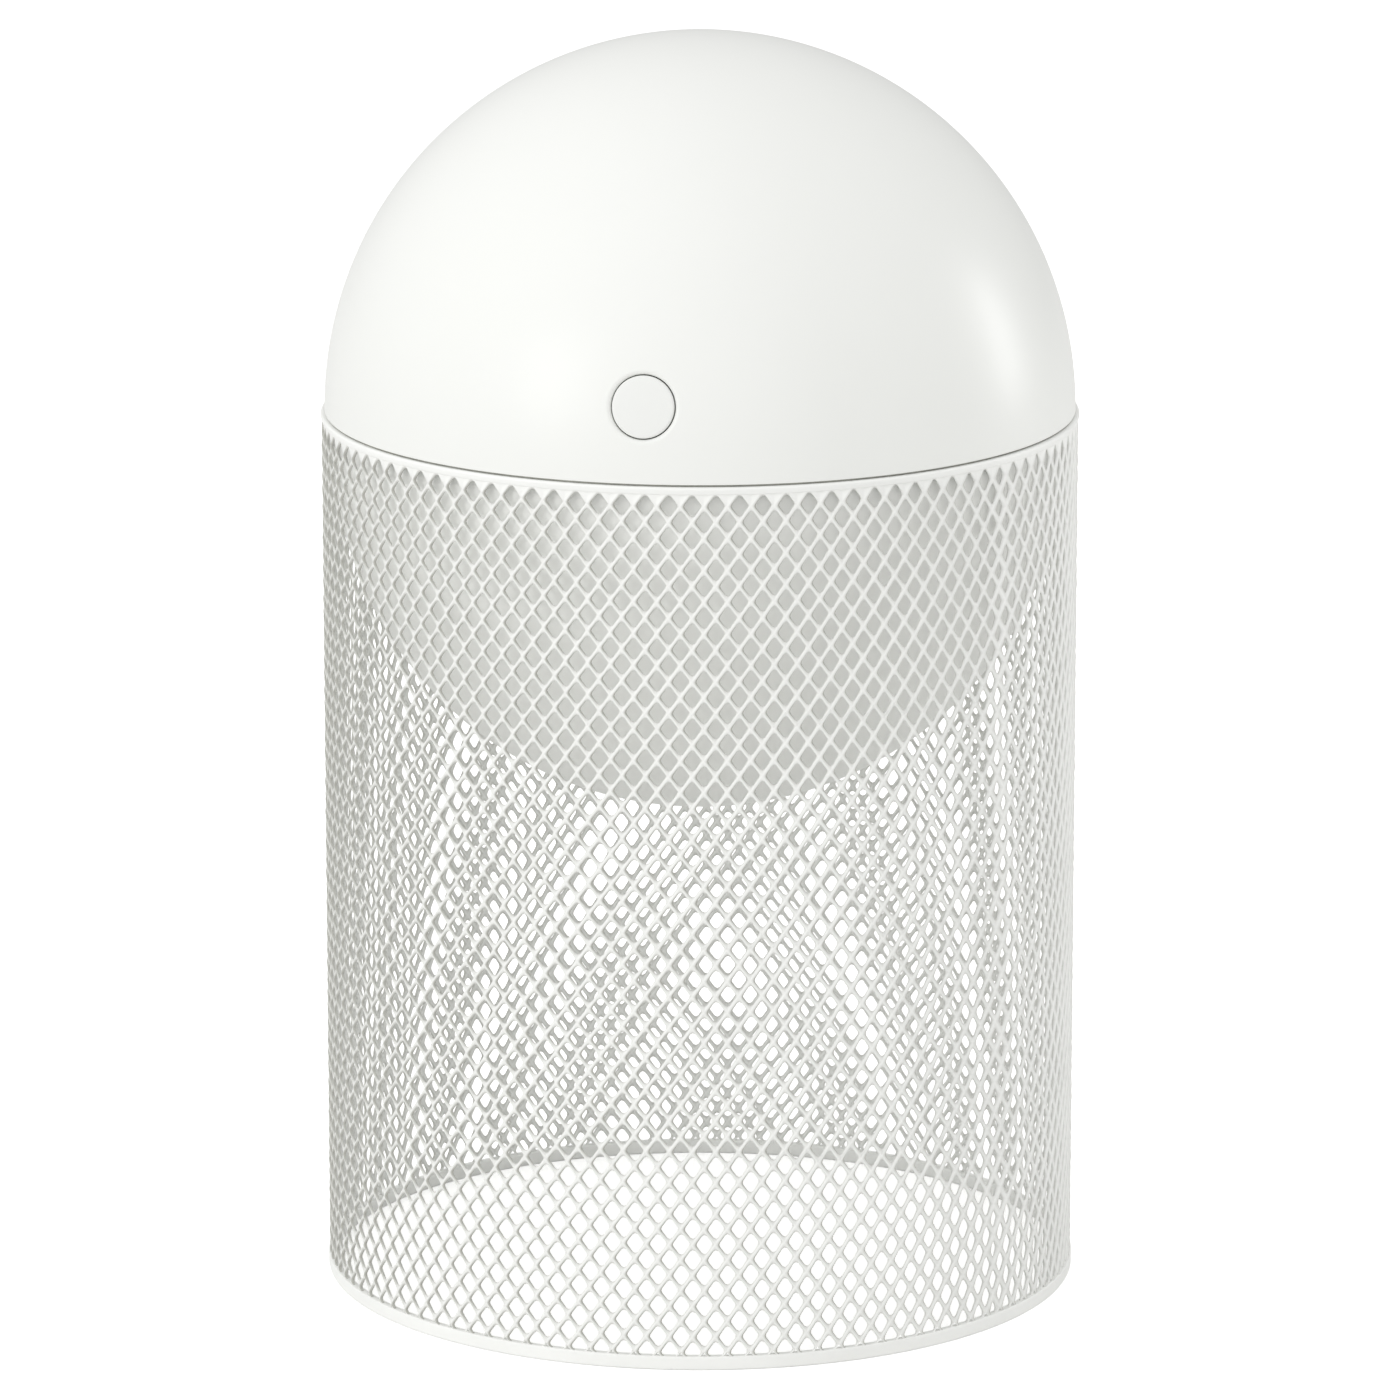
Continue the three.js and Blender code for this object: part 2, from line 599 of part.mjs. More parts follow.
// ---------- battery ----------
const trayBase = plateTop + seat;
const cellZ = trayBase + trayWall + cellClearance + cellRadius;
const [trayX, trayY] = [trayLength / 2, trayWidth / 2];
const tray = solid(block([-trayX, -trayY, trayBase], [trayX, trayY, trayBase + trayDepth]))
  .subtract(solid(block([trayWall - trayX, trayWall - trayY, trayBase + trayWall],
    [trayX - trayWall, trayY - trayWall, trayBase + trayDepth + 1])));
put('battery_holder', surfaceOf(tray), blackPart);
[-1, 1].forEach((side, i) => {
  const half = cellLength / 2;
  const shoulder = half - 1;
  const cell = turned([[0, -half], [cellRadius, -half], [cellRadius, shoulder - cellCrimp / 2],
    [cellRadius - cellCrimp, shoulder], [capRadius, shoulder], [capRadius, half], [0, half]], 20);
  const body = put(`battery_cell_${i + 1}`, cell, cellWrap);
  body.rotation.y = (side * Math.PI) / 2;
  body.position.set(0, side * (cellRadius + cellClearance / 2), cellZ);
});

// ---------- main board and what it carries ----------
const boardShape = polygon([[-boardHalfWidth, boardFront], [boardHalfWidth, boardFront],
  [boardHalfWidth, boardBack], [-boardHalfWidth, boardBack]]);
for (const [x, y] of standoffs) {
  boardShape.holes.push(new THREE.Path().absarc(x, y, standoffPin + 0.2, 0, 2 * Math.PI));
}
put('main_board', plateOf(boardShape, boardBottom, boardTop, 6), greenBoard);
const onBoard = boardTop + seat;
const fromFront = (y) => boardFront + y;
put('usb_c_socket', surfaceOf(solid(block([-socketWidth / 2, socketMouth - socketLength, onBoard],
  [socketWidth / 2, socketMouth, onBoard + socketHeight]))
  .subtract(solid(block([socketWall - socketWidth / 2, socketMouth - socketLength + 1, onBoard + socketWall],
    [socketWidth / 2 - socketWall, socketMouth + 1, onBoard + socketHeight - socketWall])))), steel);

// The step-up transformer: a ferrite frame round its winding, open in front and behind.
const [coreWidth, coreLength, coreHeight] = coreSize;
const coreLow = [coreCentreX - coreWidth / 2, fromFront(coreFront), onBoard];
const coreHigh = [coreCentreX + coreWidth / 2, coreLow[1] + coreLength, onBoard + coreHeight];
const core = solid(block(coreLow, coreHigh)).subtract(solid(block(
  [coreLow[0] + coreWall, coreLow[1] - 1, onBoard + coreWall],
  [coreHigh[0] - coreWall, coreHigh[1] + 1, coreHigh[2] - coreWall])));
put('transformer_core', surfaceOf(core), blackPart);
const winding = disc(windingRadius, 0, coreLength - 2, 14).rotateX(-Math.PI / 2)
  .translate(coreCentreX, coreLow[1] + 1, onBoard + coreHeight / 2);
put('transformer_winding', winding, copperTape);

// A box of a given footprint and height, standing on the board at a place on it.
function onBoardBox([width, length], height, [x, y]) {
  return block([x - width / 2, fromFront(y) - length / 2, onBoard],
    [x + width / 2, fromFront(y) + length / 2, onBoard + height]);
}
const [filmWidth, filmLength, filmHeight] = filmCapacitorSize;
put('hv_capacitor', onBoardBox([filmWidth, filmLength], filmHeight, filmCapacitorPlace), filmCase);
put('storage_capacitor', disc(canRadius, onBoard, onBoard + canHeight, 14)
  .translate(canPlace[0], fromFront(canPlace[1]), 0), blackPart);
put('charge_chip', onBoardBox(chargeChipSize, chipHeight, chargeChipPlace), blackPart);
put('control_chip', onBoardBox(controlChipSize, chipHeight, controlChipPlace), blackPart);

// ---------- grid head in the bowl's pole ----------
const b = carrierBase;
const ledgeBore = carrierBore - ledgeWidth;
let carrier = solid(turned([[ledgeBore, b], [carrierRadius + carrierFlange, b],
  [carrierRadius + carrierFlange, b + carrierFlangeHeight], [carrierRadius, b + carrierFlangeHeight],
  [carrierRadius, carrierTop], [carrierBore, carrierTop], [carrierBore, b + windowLedge],
  [ledgeBore, b + windowLedge], [ledgeBore, b + windowLedge - 1.5], [carrierBore, b + windowLedge - 1.5],
  [carrierBore, b + gridLedge], [ledgeBore, b + gridLedge]], medium));
for (const [x, y] of portScrews) {
  carrier = carrier.subtract(solid(disc(portScrewShank + 0.2, b - 1, b + gridLedge - 0.3, 10)
    .translate(x, y, 0)));
}
const leadBore = leadRadius + 0.4;
const tabZ = gridZ + electrodeThickness / 2;
for (const side of [-1, 1]) {
  carrier = carrier.subtract(solid(disc(leadBore, carrierBore - 1, carrierRadius + 1, 10)
    .rotateY((side * Math.PI) / 2).translate(0, 0, tabZ + leadBore)));
}
put('grid_carrier', surfaceOf(carrier), greyPlastic);

// Two combs of flat bars reach between each other without touching.
const barHalf = electrodeBar / 2;
const electrodeReach = carrierBore - 0.4;
const busWidth = 1.2;
function comb(side, rows) {
  const outerY = Math.max(...rows) * electrodePitch + barHalf;
  const bus = Math.sqrt(electrodeReach ** 2 - outerY ** 2);
  return { bus, outerY, side, rows };
}
const plusComb = comb(-1, [-2, 0, 2]);
const minusComb = comb(1, [-3, -1, 1, 3]);
function combGeometry(own, other) {
  const reach = other.bus - busWidth - electrodeGap;
  const edge = own.bus - busWidth;
  const points = [[own.bus, -own.outerY], [own.bus, own.outerY]];
  for (const row of [...own.rows].reverse()) {
    const y = row * electrodePitch;
    const tip = -Math.min(reach, Math.sqrt(electrodeReach ** 2 - (Math.abs(y) + barHalf) ** 2) - 0.3);
    points.push([edge, y + barHalf], [tip, y + barHalf], [tip, y - barHalf], [edge, y - barHalf]);
  }
  const placed = points.map(([x, y]) => [own.side * x, y]);
  const outline = placed.filter(([x, y], i) => {
    const [px, py] = placed[(i + placed.length - 1) % placed.length];
    return x !== px || y !== py;
  });
  return plateOf(polygon(outline), gridZ, gridZ + electrodeThickness);
}
put('electrode_positive', combGeometry(plusComb, minusComb), steel);
put('electrode_negative', combGeometry(minusComb, plusComb), steel);

const windowBase = b + windowLedge + seat;
put('uv_window', disc(carrierBore - 0.2, windowBase, windowBase + windowThickness, medium), clearWindow);
const ledBoardBase = carrierTop + seat;
put('uv_led_board', disc(carrierRadius - 0.3, ledBoardBase, ledBoardBase + ledBoardThickness, medium),
  ledBoardWhite);
pointsOnRing(ledCount, ledRing).forEach(([x, y], i) => {
  const bulb = turned([[0, -ledHeight], [ledRadius * 0.7, -ledHeight + 0.5], [ledRadius, -ledHeight + 1.4],
    [ledRadius, 0], [0, 0]], 12);
  put(`uv_led_${i + 1}`, bulb, ledClear).position.set(x, y, ledBoardBase - seat);
});

// The finger guard over the port, let into the pole: a ring with two bars across it.
const barX = (grilleGap + grilleBar) / 2;
const grilleShape = new THREE.Shape();
grilleShape.absarc(0, 0, grilleRadius, 0, 2 * Math.PI);
function gapBetween(from, to) {
  const [a, c] = [Math.acos(to / portRadius), Math.acos(from / portRadius)];
  const path = new THREE.Path();
  path.absarc(0, 0, portRadius, a, c);
  path.absarc(0, 0, portRadius, -c, -a);
  return path;
}
grilleShape.holes.push(gapBetween(-grilleGap / 2, grilleGap / 2),
  gapBetween(barX + grilleBar / 2, portRadius - 0.01), gapBetween(0.01 - portRadius, -barX - grilleBar / 2));
let grille = solid(plateOf(grilleShape, flatZ, grilleTop, 8));
for (const [x, y] of portScrews) {
  const shankHole = disc(portScrewShank + 0.2, flatZ - 1, grilleTop + 1, 10);
  const headHole = disc(portScrewHead + 0.2, flatZ - 1, flatZ + portScrewHeadHeight + seat, 10);
  grille = grille.subtract(solid(shankHole.translate(x, y, 0)));
  grille = grille.subtract(solid(headHole.translate(x, y, 0)));
}
put('port_grille', surfaceOf(grille), whiteBowl);
portScrews.forEach(([x, y], i) => {
  const length = carrierBase + gridLedge - 0.6 - flatZ - portScrewHeadHeight;
  const body = put(`port_screw_${i + 1}`,
    screw(portScrewShank, portScrewHead, portScrewHeadHeight, length), steel);
  body.rotation.x = Math.PI;
  body.position.set(x, y, flatZ + portScrewHeadHeight);
});

// ---------- leads ----------
const trayEnd = trayX + turnedGap;
put('battery_lead_positive', lead([[trayEnd, 8, trayBase + 8], [trayEnd + 3, 8.5, trayBase + 8],
  [trayEnd + 4, trayY, boardTop + 2], [boardHalfWidth + 4, fromFront(7), boardTop + 4],
  [boardHalfWidth - 1, fromFront(11), boardTop + 3.5],
  [boardHalfWidth - 2.5, fromFront(11.5), boardTop + leadRadius + 0.4]]), redLead);
put('battery_lead_negative', lead([[trayEnd, -8, trayBase + 8], [trayEnd + 3.5, -7.5, trayBase + 8],
  [trayEnd + 7, 6, trayBase + 7], [trayEnd + 6, trayY, boardTop - 1],
  [boardHalfWidth + 5, fromFront(14), boardTop + 2.5], [boardHalfWidth - 1, fromFront(17), boardTop + 3],
  [boardHalfWidth - 2.5, fromFront(17.5), boardTop + leadRadius + 0.4]]), blackPart);
const buttonLeadY = bracketBack + 2;
put('button_lead', lead([[bracketHalf + 1.5, buttonLeadY - 3, centreZ + 9],
  [bracketHalf + 10, buttonLeadY, centreZ + 3], [trayX, -trayY - 9, plateTop + 4],
  [trayX + 12, -4, plateTop + 3], [trayX + 8, trayY, plateTop + 3],
  [boardHalfWidth + 4, fromFront(24), boardTop + 2],
  [boardHalfWidth - 2.5, fromFront(25), boardTop + leadRadius + 0.4]]), greyPlastic);
const holeY = leadHole[1];
put('led_lead', lead([[0, holeY, boardBottom - 1.2], [0, holeY, plateBottom - 6],
  [0, holeY * 0.6, (plateBottom + carrierTop) / 2 + 4], [0, 6, ledBoardBase + 16],
  [0, 0, ledBoardBase + ledBoardThickness + 0.4]]), greyPlastic);
[[-1, 'positive', plusComb], [1, 'negative', minusComb]].forEach(([side, sign, own]) => {
  const tip = side * (own.bus - busWidth / 2);
  const outside = side * (carrierRadius + 3);
  const leadZ = tabZ + leadBore;
  put(`hv_lead_${sign}`, lead([[side * 4, holeY, boardBottom - 1.2], [side * 4, holeY, plateBottom - 6],
    [side * 12, holeY * 0.6, (plateBottom + carrierTop) / 2 + 6], [side * 20, 6, carrierTop + 10],
    [side * (carrierRadius + 5), 0, carrierTop - 4], [side * (carrierRadius + 4.5), 0, leadZ + 4.5],
    [outside, 0, leadZ + 0.6], [side * (carrierRadius + 1), 0, leadZ],
    [side * carrierBore, 0, leadZ], [tip + side * 0.8, 0, leadZ]]),
  sign === 'positive' ? redLead : blackPart);
});

export default zapper;
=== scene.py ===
# A free-standing rechargeable bug zapper: a white round head that hangs in a sleeve of white
# expanded mesh. Metres, +Z up. The origin is the middle of the sleeve's base.
import math

import bpy
import numpy as np
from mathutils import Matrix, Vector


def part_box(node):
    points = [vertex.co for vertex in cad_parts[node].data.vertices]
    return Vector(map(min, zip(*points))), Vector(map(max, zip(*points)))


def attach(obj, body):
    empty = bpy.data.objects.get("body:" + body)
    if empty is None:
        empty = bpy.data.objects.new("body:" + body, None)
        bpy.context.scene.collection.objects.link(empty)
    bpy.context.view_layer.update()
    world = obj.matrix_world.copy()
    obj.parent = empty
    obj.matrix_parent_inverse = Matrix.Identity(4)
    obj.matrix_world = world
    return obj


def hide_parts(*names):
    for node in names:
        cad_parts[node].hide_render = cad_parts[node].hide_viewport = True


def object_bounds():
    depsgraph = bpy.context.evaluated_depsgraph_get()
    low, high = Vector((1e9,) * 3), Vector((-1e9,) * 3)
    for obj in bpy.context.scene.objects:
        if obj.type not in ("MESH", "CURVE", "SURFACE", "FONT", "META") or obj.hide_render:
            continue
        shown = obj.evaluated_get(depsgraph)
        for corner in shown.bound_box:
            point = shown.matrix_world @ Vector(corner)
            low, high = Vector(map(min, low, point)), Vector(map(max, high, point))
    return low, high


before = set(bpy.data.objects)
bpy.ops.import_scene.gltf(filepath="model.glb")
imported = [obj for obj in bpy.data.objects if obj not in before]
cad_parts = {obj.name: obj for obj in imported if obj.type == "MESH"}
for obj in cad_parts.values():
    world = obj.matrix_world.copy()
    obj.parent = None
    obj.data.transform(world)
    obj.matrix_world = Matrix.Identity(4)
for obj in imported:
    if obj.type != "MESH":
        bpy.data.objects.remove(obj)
cad_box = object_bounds()


# ---------- camera, light and floor ----------
# A long lens a little above the object and to its right, an even white studio tent, a large
# soft key on the left, a strip on the right, and a pale floor.
camera_distance = 1.7
camera_azimuth = math.radians(8.6)
camera_height = 0.5263
camera_pitch = math.radians(13.574)

camera_data = bpy.data.cameras.new("camera")
camera_data.lens = 225.63
camera_data.sensor_width = 36
camera_data.clip_start = 0.01
camera = bpy.data.objects.new("camera", camera_data)
camera.location = (
    camera_distance * math.sin(camera_azimuth),
    -camera_distance * math.cos(camera_azimuth),
    camera_height,
)
camera.rotation_euler = (math.pi / 2 - camera_pitch, 0, camera_azimuth)
bpy.context.scene.collection.objects.link(camera)
bpy.context.scene.camera = camera
bpy.context.scene.view_settings.view_transform = "Standard"


def soft_light(name, place, aim, size, power):
    """A rectangular light at place, turned so that it shines at aim."""
    data = bpy.data.lights.new(name, "AREA")
    data.shape = "RECTANGLE"
    data.size, data.size_y = size
    data.energy = power
    light = bpy.data.objects.new(name, data)
    light.location = place
    direction = np.subtract(aim, place)
    light.rotation_euler = Vector(direction).to_track_quat("-Z", "Y").to_euler()
    bpy.context.scene.collection.objects.link(light)
    return light


middle = (0, 0, (cad_box[0].z + cad_box[1].z) / 2)
soft_light("key", (-0.93, -1.25, 0.6), middle, (0.45, 0.6), 2.7)
soft_light("strip", (1.06, 0.52, 0.37), middle, (0.08, 0.5), 2.3)

world = bpy.data.worlds.new("studio")
bpy.context.scene.world = world
world.use_nodes = True
sky = world.node_tree
sky.nodes.clear()
sky_out = sky.nodes.new("ShaderNodeOutputWorld")
tent = sky.nodes.new("ShaderNodeBackground")
backdrop = sky.nodes.new("ShaderNodeBackground")
backdrop.inputs["Color"].default_value = (1, 1, 1, 1)
seen = sky.nodes.new("ShaderNodeMixShader")
ray = sky.nodes.new("ShaderNodeLightPath")
sky_place = sky.nodes.new("ShaderNodeTexCoord")
towards_key = sky.nodes.new("ShaderNodeVectorMath")
towards_key.operation = "DOT_PRODUCT"
towards_key.inputs[1].default_value = (-0.46, -0.58, 0.67)
fall_off = sky.nodes.new("ShaderNodeMapRange")
fall_off.inputs["From Min"].default_value = -1
fall_off.inputs["From Max"].default_value = 1
fall_off.inputs["To Min"].default_value = 0.30
fall_off.inputs["To Max"].default_value = 1.47
sky.links.new(sky_place.outputs["Generated"], towards_key.inputs[0])
sky.links.new(towards_key.outputs["Value"], fall_off.inputs["Value"])
sky.links.new(fall_off.outputs["Result"], tent.inputs["Strength"])
sky.links.new(ray.outputs["Is Camera Ray"], seen.inputs["Fac"])
sky.links.new(tent.outputs["Background"], seen.inputs[1])
sky.links.new(backdrop.outputs["Background"], seen.inputs[2])
sky.links.new(seen.outputs["Shader"], sky_out.inputs["Surface"])

floor_data = bpy.data.meshes.new("floor")
floor_half = 3
floor_data.from_pydata(
    [(-floor_half, -floor_half, 0), (floor_half, -floor_half, 0),
     (floor_half, floor_half, 0), (-floor_half, floor_half, 0)], [], [(0, 1, 2, 3)])
floor = bpy.data.objects.new("floor", floor_data)
bpy.context.scene.collection.objects.link(floor)
floor_paper = bpy.data.materials.new("floor_paper")
floor_paper.use_nodes = True
paper = floor_paper.node_tree.nodes["Principled BSDF"]
paper.inputs["Base Color"].default_value = (0.84, 0.84, 0.83, 1)
paper.inputs["Roughness"].default_value = 0.9
paper.inputs["Specular IOR Level"].default_value = 0.1
paper.inputs["Emission Color"].default_value = (1, 1, 1, 1)
paper_tree = floor_paper.node_tree
paper_ray = paper_tree.nodes.new("ShaderNodeLightPath")
paper_glow = paper_tree.nodes.new("ShaderNodeMath")
paper_glow.operation = "MULTIPLY"
paper_glow.inputs[1].default_value = 0.5
paper_tree.links.new(paper_ray.outputs["Is Camera Ray"], paper_glow.inputs[0])
paper_tree.links.new(paper_glow.outputs["Value"], paper.inputs["Emission Strength"])
floor_data.materials.append(floor_paper)


# ---------- mesh sleeve ----------
# Expanded steel sheet, slit and drawn into columns of diamond openings, rolled into a tube,
# welded along one line and powder coated. Its strands lie tilted, like the slats of a blind.
# The top edge is rolled inwards, and the foot is a folded band that stands on the table.
MM = 0.001
guard_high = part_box("mesh_guard")[1]
guard_radius = guard_high.x
guard_height = guard_high.z
strand_columns = 104
strand_rows = 55
coat_thickness = 0.66 * MM          # sheet with its coat
sheet_set_in = 0.70 * MM            # middle of the sheet to the sleeve's outside
sheet_middle = guard_radius - sheet_set_in
row_step = 3.11 * MM                # half of an opening's vertical pitch
lowest_row = 3.6 * MM               # the hem cuts off this row's lower tips
strand_width = 0.72 * MM
opening_corner = 0.7 * MM           # radius of an opening's corners
hem_height = 2.8 * MM               # folded foot, which takes in the sheet's lower edge
hem_squeeze = 0.6                   # height the sheet keeps inside the foot
strand_tilt = math.radians(36)
strand_rise = 0.38 * MM             # how far an opening's edges stand out of and into the sheet
edge_round = 0.36                   # share of the strand that its rounded edge takes
edge_flat = 0.4                     # share of the thickness that the edge's upright part takes
first_column = math.radians(-92.85)
weld_angle = math.radians(-30)
weld_reach = 1.3                    # half width of the weld's distorted band, in half columns
weld_narrowing = (0.72, 0.95)       # sizes of the openings along the weld
opening_spread = 0.03
rise_spread = 0.15


def build(name, points, faces, smooth_below=50, **marks):
    """A mesh object from arrays. A face has four corners, and a corner that repeats the one
    before it is dropped, so a triangle is a quad with two like corners. Corners that no face
    uses are left out. Edges that bend by more than smooth_below degrees stay sharp. Marks are
    named values for each corner, which a material can read."""
    faces = np.asarray(faces).reshape(-1, 4)
    kept = faces != np.roll(faces, -1, axis=1)
    whole = kept.sum(axis=1) > 2
    faces, kept = faces[whole], kept[whole]
    used, loops = np.unique(faces[kept], return_inverse=True)
    sides = kept.sum(axis=1)
    data = bpy.data.meshes.new(name)
    data.vertices.add(len(used))
    data.vertices.foreach_set("co", np.asarray(points)[used].astype(np.float32).ravel())
    data.loops.add(len(loops))
    data.loops.foreach_set("vertex_index", loops.astype(np.int32).ravel())
    data.polygons.add(len(sides))
    data.polygons.foreach_set("loop_start", (np.cumsum(sides) - sides).astype(np.int32))
    data.polygons.foreach_set("loop_total", sides.astype(np.int32))
    data.polygons.foreach_set("use_smooth", np.ones(len(sides), bool))
    data.update(calc_edges=True)
    data.set_sharp_from_angle(angle=math.radians(smooth_below))
    for mark, values in marks.items():
        attribute = data.attributes.new(mark, "FLOAT", "POINT")
        attribute.data.foreach_set("value", np.asarray(values)[used].astype(np.float32))
    piece = bpy.data.objects.new(name, data)
    bpy.context.scene.collection.objects.link(piece)
    return piece


def ring_faces(rows, closed=False):
    """Quads between the rows of a grid of corner numbers. Each row runs round and closes."""
    if closed:
        rows = np.vstack([rows, rows[:1]])
    after = np.roll(rows, -1, axis=1)
    return np.stack([rows[:-1], after[:-1], after[1:], rows[1:]], axis=-1).reshape(-1, 4)


def turned(profile, columns):
    """A profile of (radius, height) turned round Z: x = r cos a, y = r sin a. The profile runs
    anticlockwise with the radius to the right, and either starts and ends on the axis or closes
    on itself. A point on the axis is one corner."""
    profile = np.asarray(profile, float)
    angle = np.arange(columns) * 2 * np.pi / columns
    radius, height = profile[:, :1], profile[:, 1:]
    points = np.stack([radius * np.cos(angle), radius * np.sin(angle),
                       np.broadcast_to(height, (len(profile), columns))], axis=-1)
    rows = np.arange(len(profile) * columns).reshape(len(profile), columns)
    on_axis = profile[:, 0] < 1e-9
    rows[on_axis] = rows[on_axis, :1]
    return points.reshape(-1, 3), ring_faces(rows, closed=not on_axis.any())


def arc(centre, radius, start, end, steps):
    """Points of a circular arc in a profile, from start to end in degrees."""
    angle = np.radians(np.linspace(start, end, steps + 1))
    return np.stack([centre[0] + radius * np.cos(angle), centre[1] + radius * np.sin(angle)], axis=1)


def sleeve_point(angle, height, offset, depth):
    """A point of the tilted sheet: offset moves it along the radius, and depth moves it through
    the sheet's thickness, along a normal that leans back by the strands' tilt. Inside the foot
    the sheet is squeezed, h' = h0 - s (h0 - h), so that it ends above the table."""
    height = np.where(height < hem_height, hem_height - hem_squeeze * (hem_height - height), height)
    radius = sheet_middle + offset + depth * math.cos(strand_tilt)
    turn = angle - depth * math.sin(strand_tilt) / sheet_middle
    return np.stack(np.broadcast_arrays(radius * np.cos(turn), radius * np.sin(turn), height), axis=-1)


# Each opening sits in a diamond cell whose corners touch its neighbours'. Twelve places round
# the cell, anticlockwise from its right corner, as shares of the half-diagonals.
near, far = 0.15, 0.85
cell_edge = np.array([(1, 0), (far, near), (near, far), (0, 1), (-near, far), (-far, near),
                      (-1, 0), (-far, -near), (-near, -far), (0, -1), (near, -far), (far, -near)])
half_column = math.pi / strand_columns
rows_made = np.arange(-2, strand_rows)
columns_made = np.arange(strand_columns)
cell_row = np.broadcast_to(rows_made[:, None], (len(rows_made), strand_columns))
cell_angle = first_column + half_column * (2 * columns_made[None, :] + cell_row % 2)
cell_height = lowest_row + row_step * cell_row
random = np.random.default_rng(5)
weld_distance = np.abs((cell_angle - weld_angle + math.pi) % (2 * math.pi) - math.pi)
at_weld = weld_distance < weld_reach * half_column
opening_scale = 1 + random.uniform(-opening_spread, opening_spread, cell_row.shape + (1,))
weld_scale = random.uniform(*weld_narrowing, opening_scale.shape)
opening_scale = np.where(at_weld[..., None], opening_scale * weld_scale, opening_scale)
rise_scale = 1 + random.uniform(-rise_spread, rise_spread, cell_row.shape + (1,))

# Corners that a cell shares with its neighbours: its top corner and its two upper edges.
owned = cell_edge[[3, 1, 2, 4, 5]]
shared_angle = cell_angle[..., None] + half_column * owned[:, 0]
shared_height = cell_height[..., None] + row_step * owned[:, 1]
half_coat = coat_thickness / 2
outer_shared = sleeve_point(shared_angle, shared_height, 0, half_coat)
inner_shared = sleeve_point(shared_angle, shared_height, 0, -half_coat)

# The opening is a smaller diamond with its corners rounded. Its flanks lie parallel to the cell's,
# half a strand in, and each corner's arc has its middle and its two ends as places.
cell_half = np.array([half_column * sheet_middle, row_step])
flank = math.atan2(1 / cell_half[1], 1 / cell_half[0])
flank_reach = cell_half[0] * math.cos(flank) - strand_width / 2 - opening_corner
side_centre, top_centre = flank_reach / math.cos(flank), flank_reach / math.sin(flank)
arc_end = opening_corner * np.array([math.cos(flank), math.sin(flank)])
quarter = np.array([(side_centre + opening_corner, 0), (side_centre + arc_end[0], arc_end[1]),
                    (arc_end[0], top_centre + arc_end[1]), (0, top_centre + opening_corner)])
opening = np.concatenate([quarter, quarter[2:0:-1] * (-1, 1), quarter[:1] * (-1, 1),
                          quarter[1:] * (-1, -1), quarter[2:0:-1] * (1, -1)]) / cell_half
opening = opening * opening_scale[..., None]
lean = -np.sign(cell_edge[:, 0]) * np.sqrt(np.abs(cell_edge[:, 0])) * strand_rise * rise_scale
opening_rings = []
for share, depth in [(edge_round, half_coat), (0, half_coat * edge_flat), (0, -half_coat * edge_flat),
                     (edge_round, -half_coat)]:
    place = opening + (cell_edge - opening) * share
    opening_rings.append(sleeve_point(
        cell_angle[..., None] + half_column * place[..., 0],
        cell_height[..., None] + row_step * place[..., 1], lean * (1 - share), depth))

shared_count = outer_shared.size // 3
ring_count = opening_rings[0].size // 3
outer_number = np.arange(shared_count).reshape(shared_angle.shape)
inner_number = outer_number + shared_count
ring_number = [2 * shared_count + k * ring_count + np.arange(ring_count).reshape(opening_rings[0].shape[:-1])
               for k in range(len(opening_rings))]
sleeve_points = np.concatenate([part.reshape(-1, 3) for part in [outer_shared, inner_shared] + opening_rings])

# Painted shade on the openings' edge walls: a greyer colour where the walls lie in shade, most on each
# opening's left side, which faces away from the key light.
shade_places = np.clip(0.5 - 0.9 * cell_edge[:, 0], 0.25, 1)
slit_edge = np.zeros(len(sleeve_points))
for k, share in enumerate((0.35, 1, 1, 0.6)):
    slit_edge[ring_number[k]] = shade_places * share


def cell_loop(shared, row):
    """The twelve corner numbers round every cell of a row, out of the shared corners."""
    own, below, two_below = shared[(row + 2) % len(shared)], shared[row + 1], shared[row]
    if row + 2 == len(shared):
        own = np.zeros_like(below)
    shift = row % 2
    right, left = np.roll(below, -shift, axis=0), np.roll(below, 1 - shift, axis=0)
    return np.stack([right[:, 0], own[:, 1], own[:, 2], own[:, 0], own[:, 3], own[:, 4],
                     left[:, 0], left[:, 2], left[:, 1], two_below[:, 0], right[:, 4], right[:, 3]], axis=1)


def wall(outer, inner):
    """Quads that close a sheet's edge, from its outer corners to its inner ones."""
    return np.stack([outer[:, :-1], inner[:, :-1], inner[:, 1:], outer[:, 1:]], axis=-1).reshape(-1, 4)


def half_cells(row, places, mid_height, dimple_height, dimple):
    """Half cells without an opening, under the lip: a shallow dimple fanned to the cells round it."""
    column_angle = first_column + half_column * (2 * columns_made + row % 2)
    extra, faces, rims = [], [], []
    start = len(sleeve_points)
    for side, shared in [(1, outer_number), (-1, inner_number)]:
        loop = cell_loop(shared, row)[:, places]
        extra += [sleeve_point(column_angle, dimple_height, -dimple, side * half_coat),
                  sleeve_point(column_angle, mid_height, 0, side * half_coat)]
        centre = start + columns_made
        mid = centre + strand_columns
        start += 2 * strand_columns
        loop = np.concatenate([loop, mid[:, None]], axis=1)
        after = np.roll(loop, -1, axis=1)
        fan = np.stack([np.broadcast_to(centre[:, None], loop.shape), loop, after, after], axis=-1)
        faces.append((fan if side > 0 else fan[..., ::-1]).reshape(-1, 4))
        rims.append(loop[:, [-2, -1, 0]])
    faces.append(wall(*rims))
    return np.concatenate(extra), np.concatenate(faces)


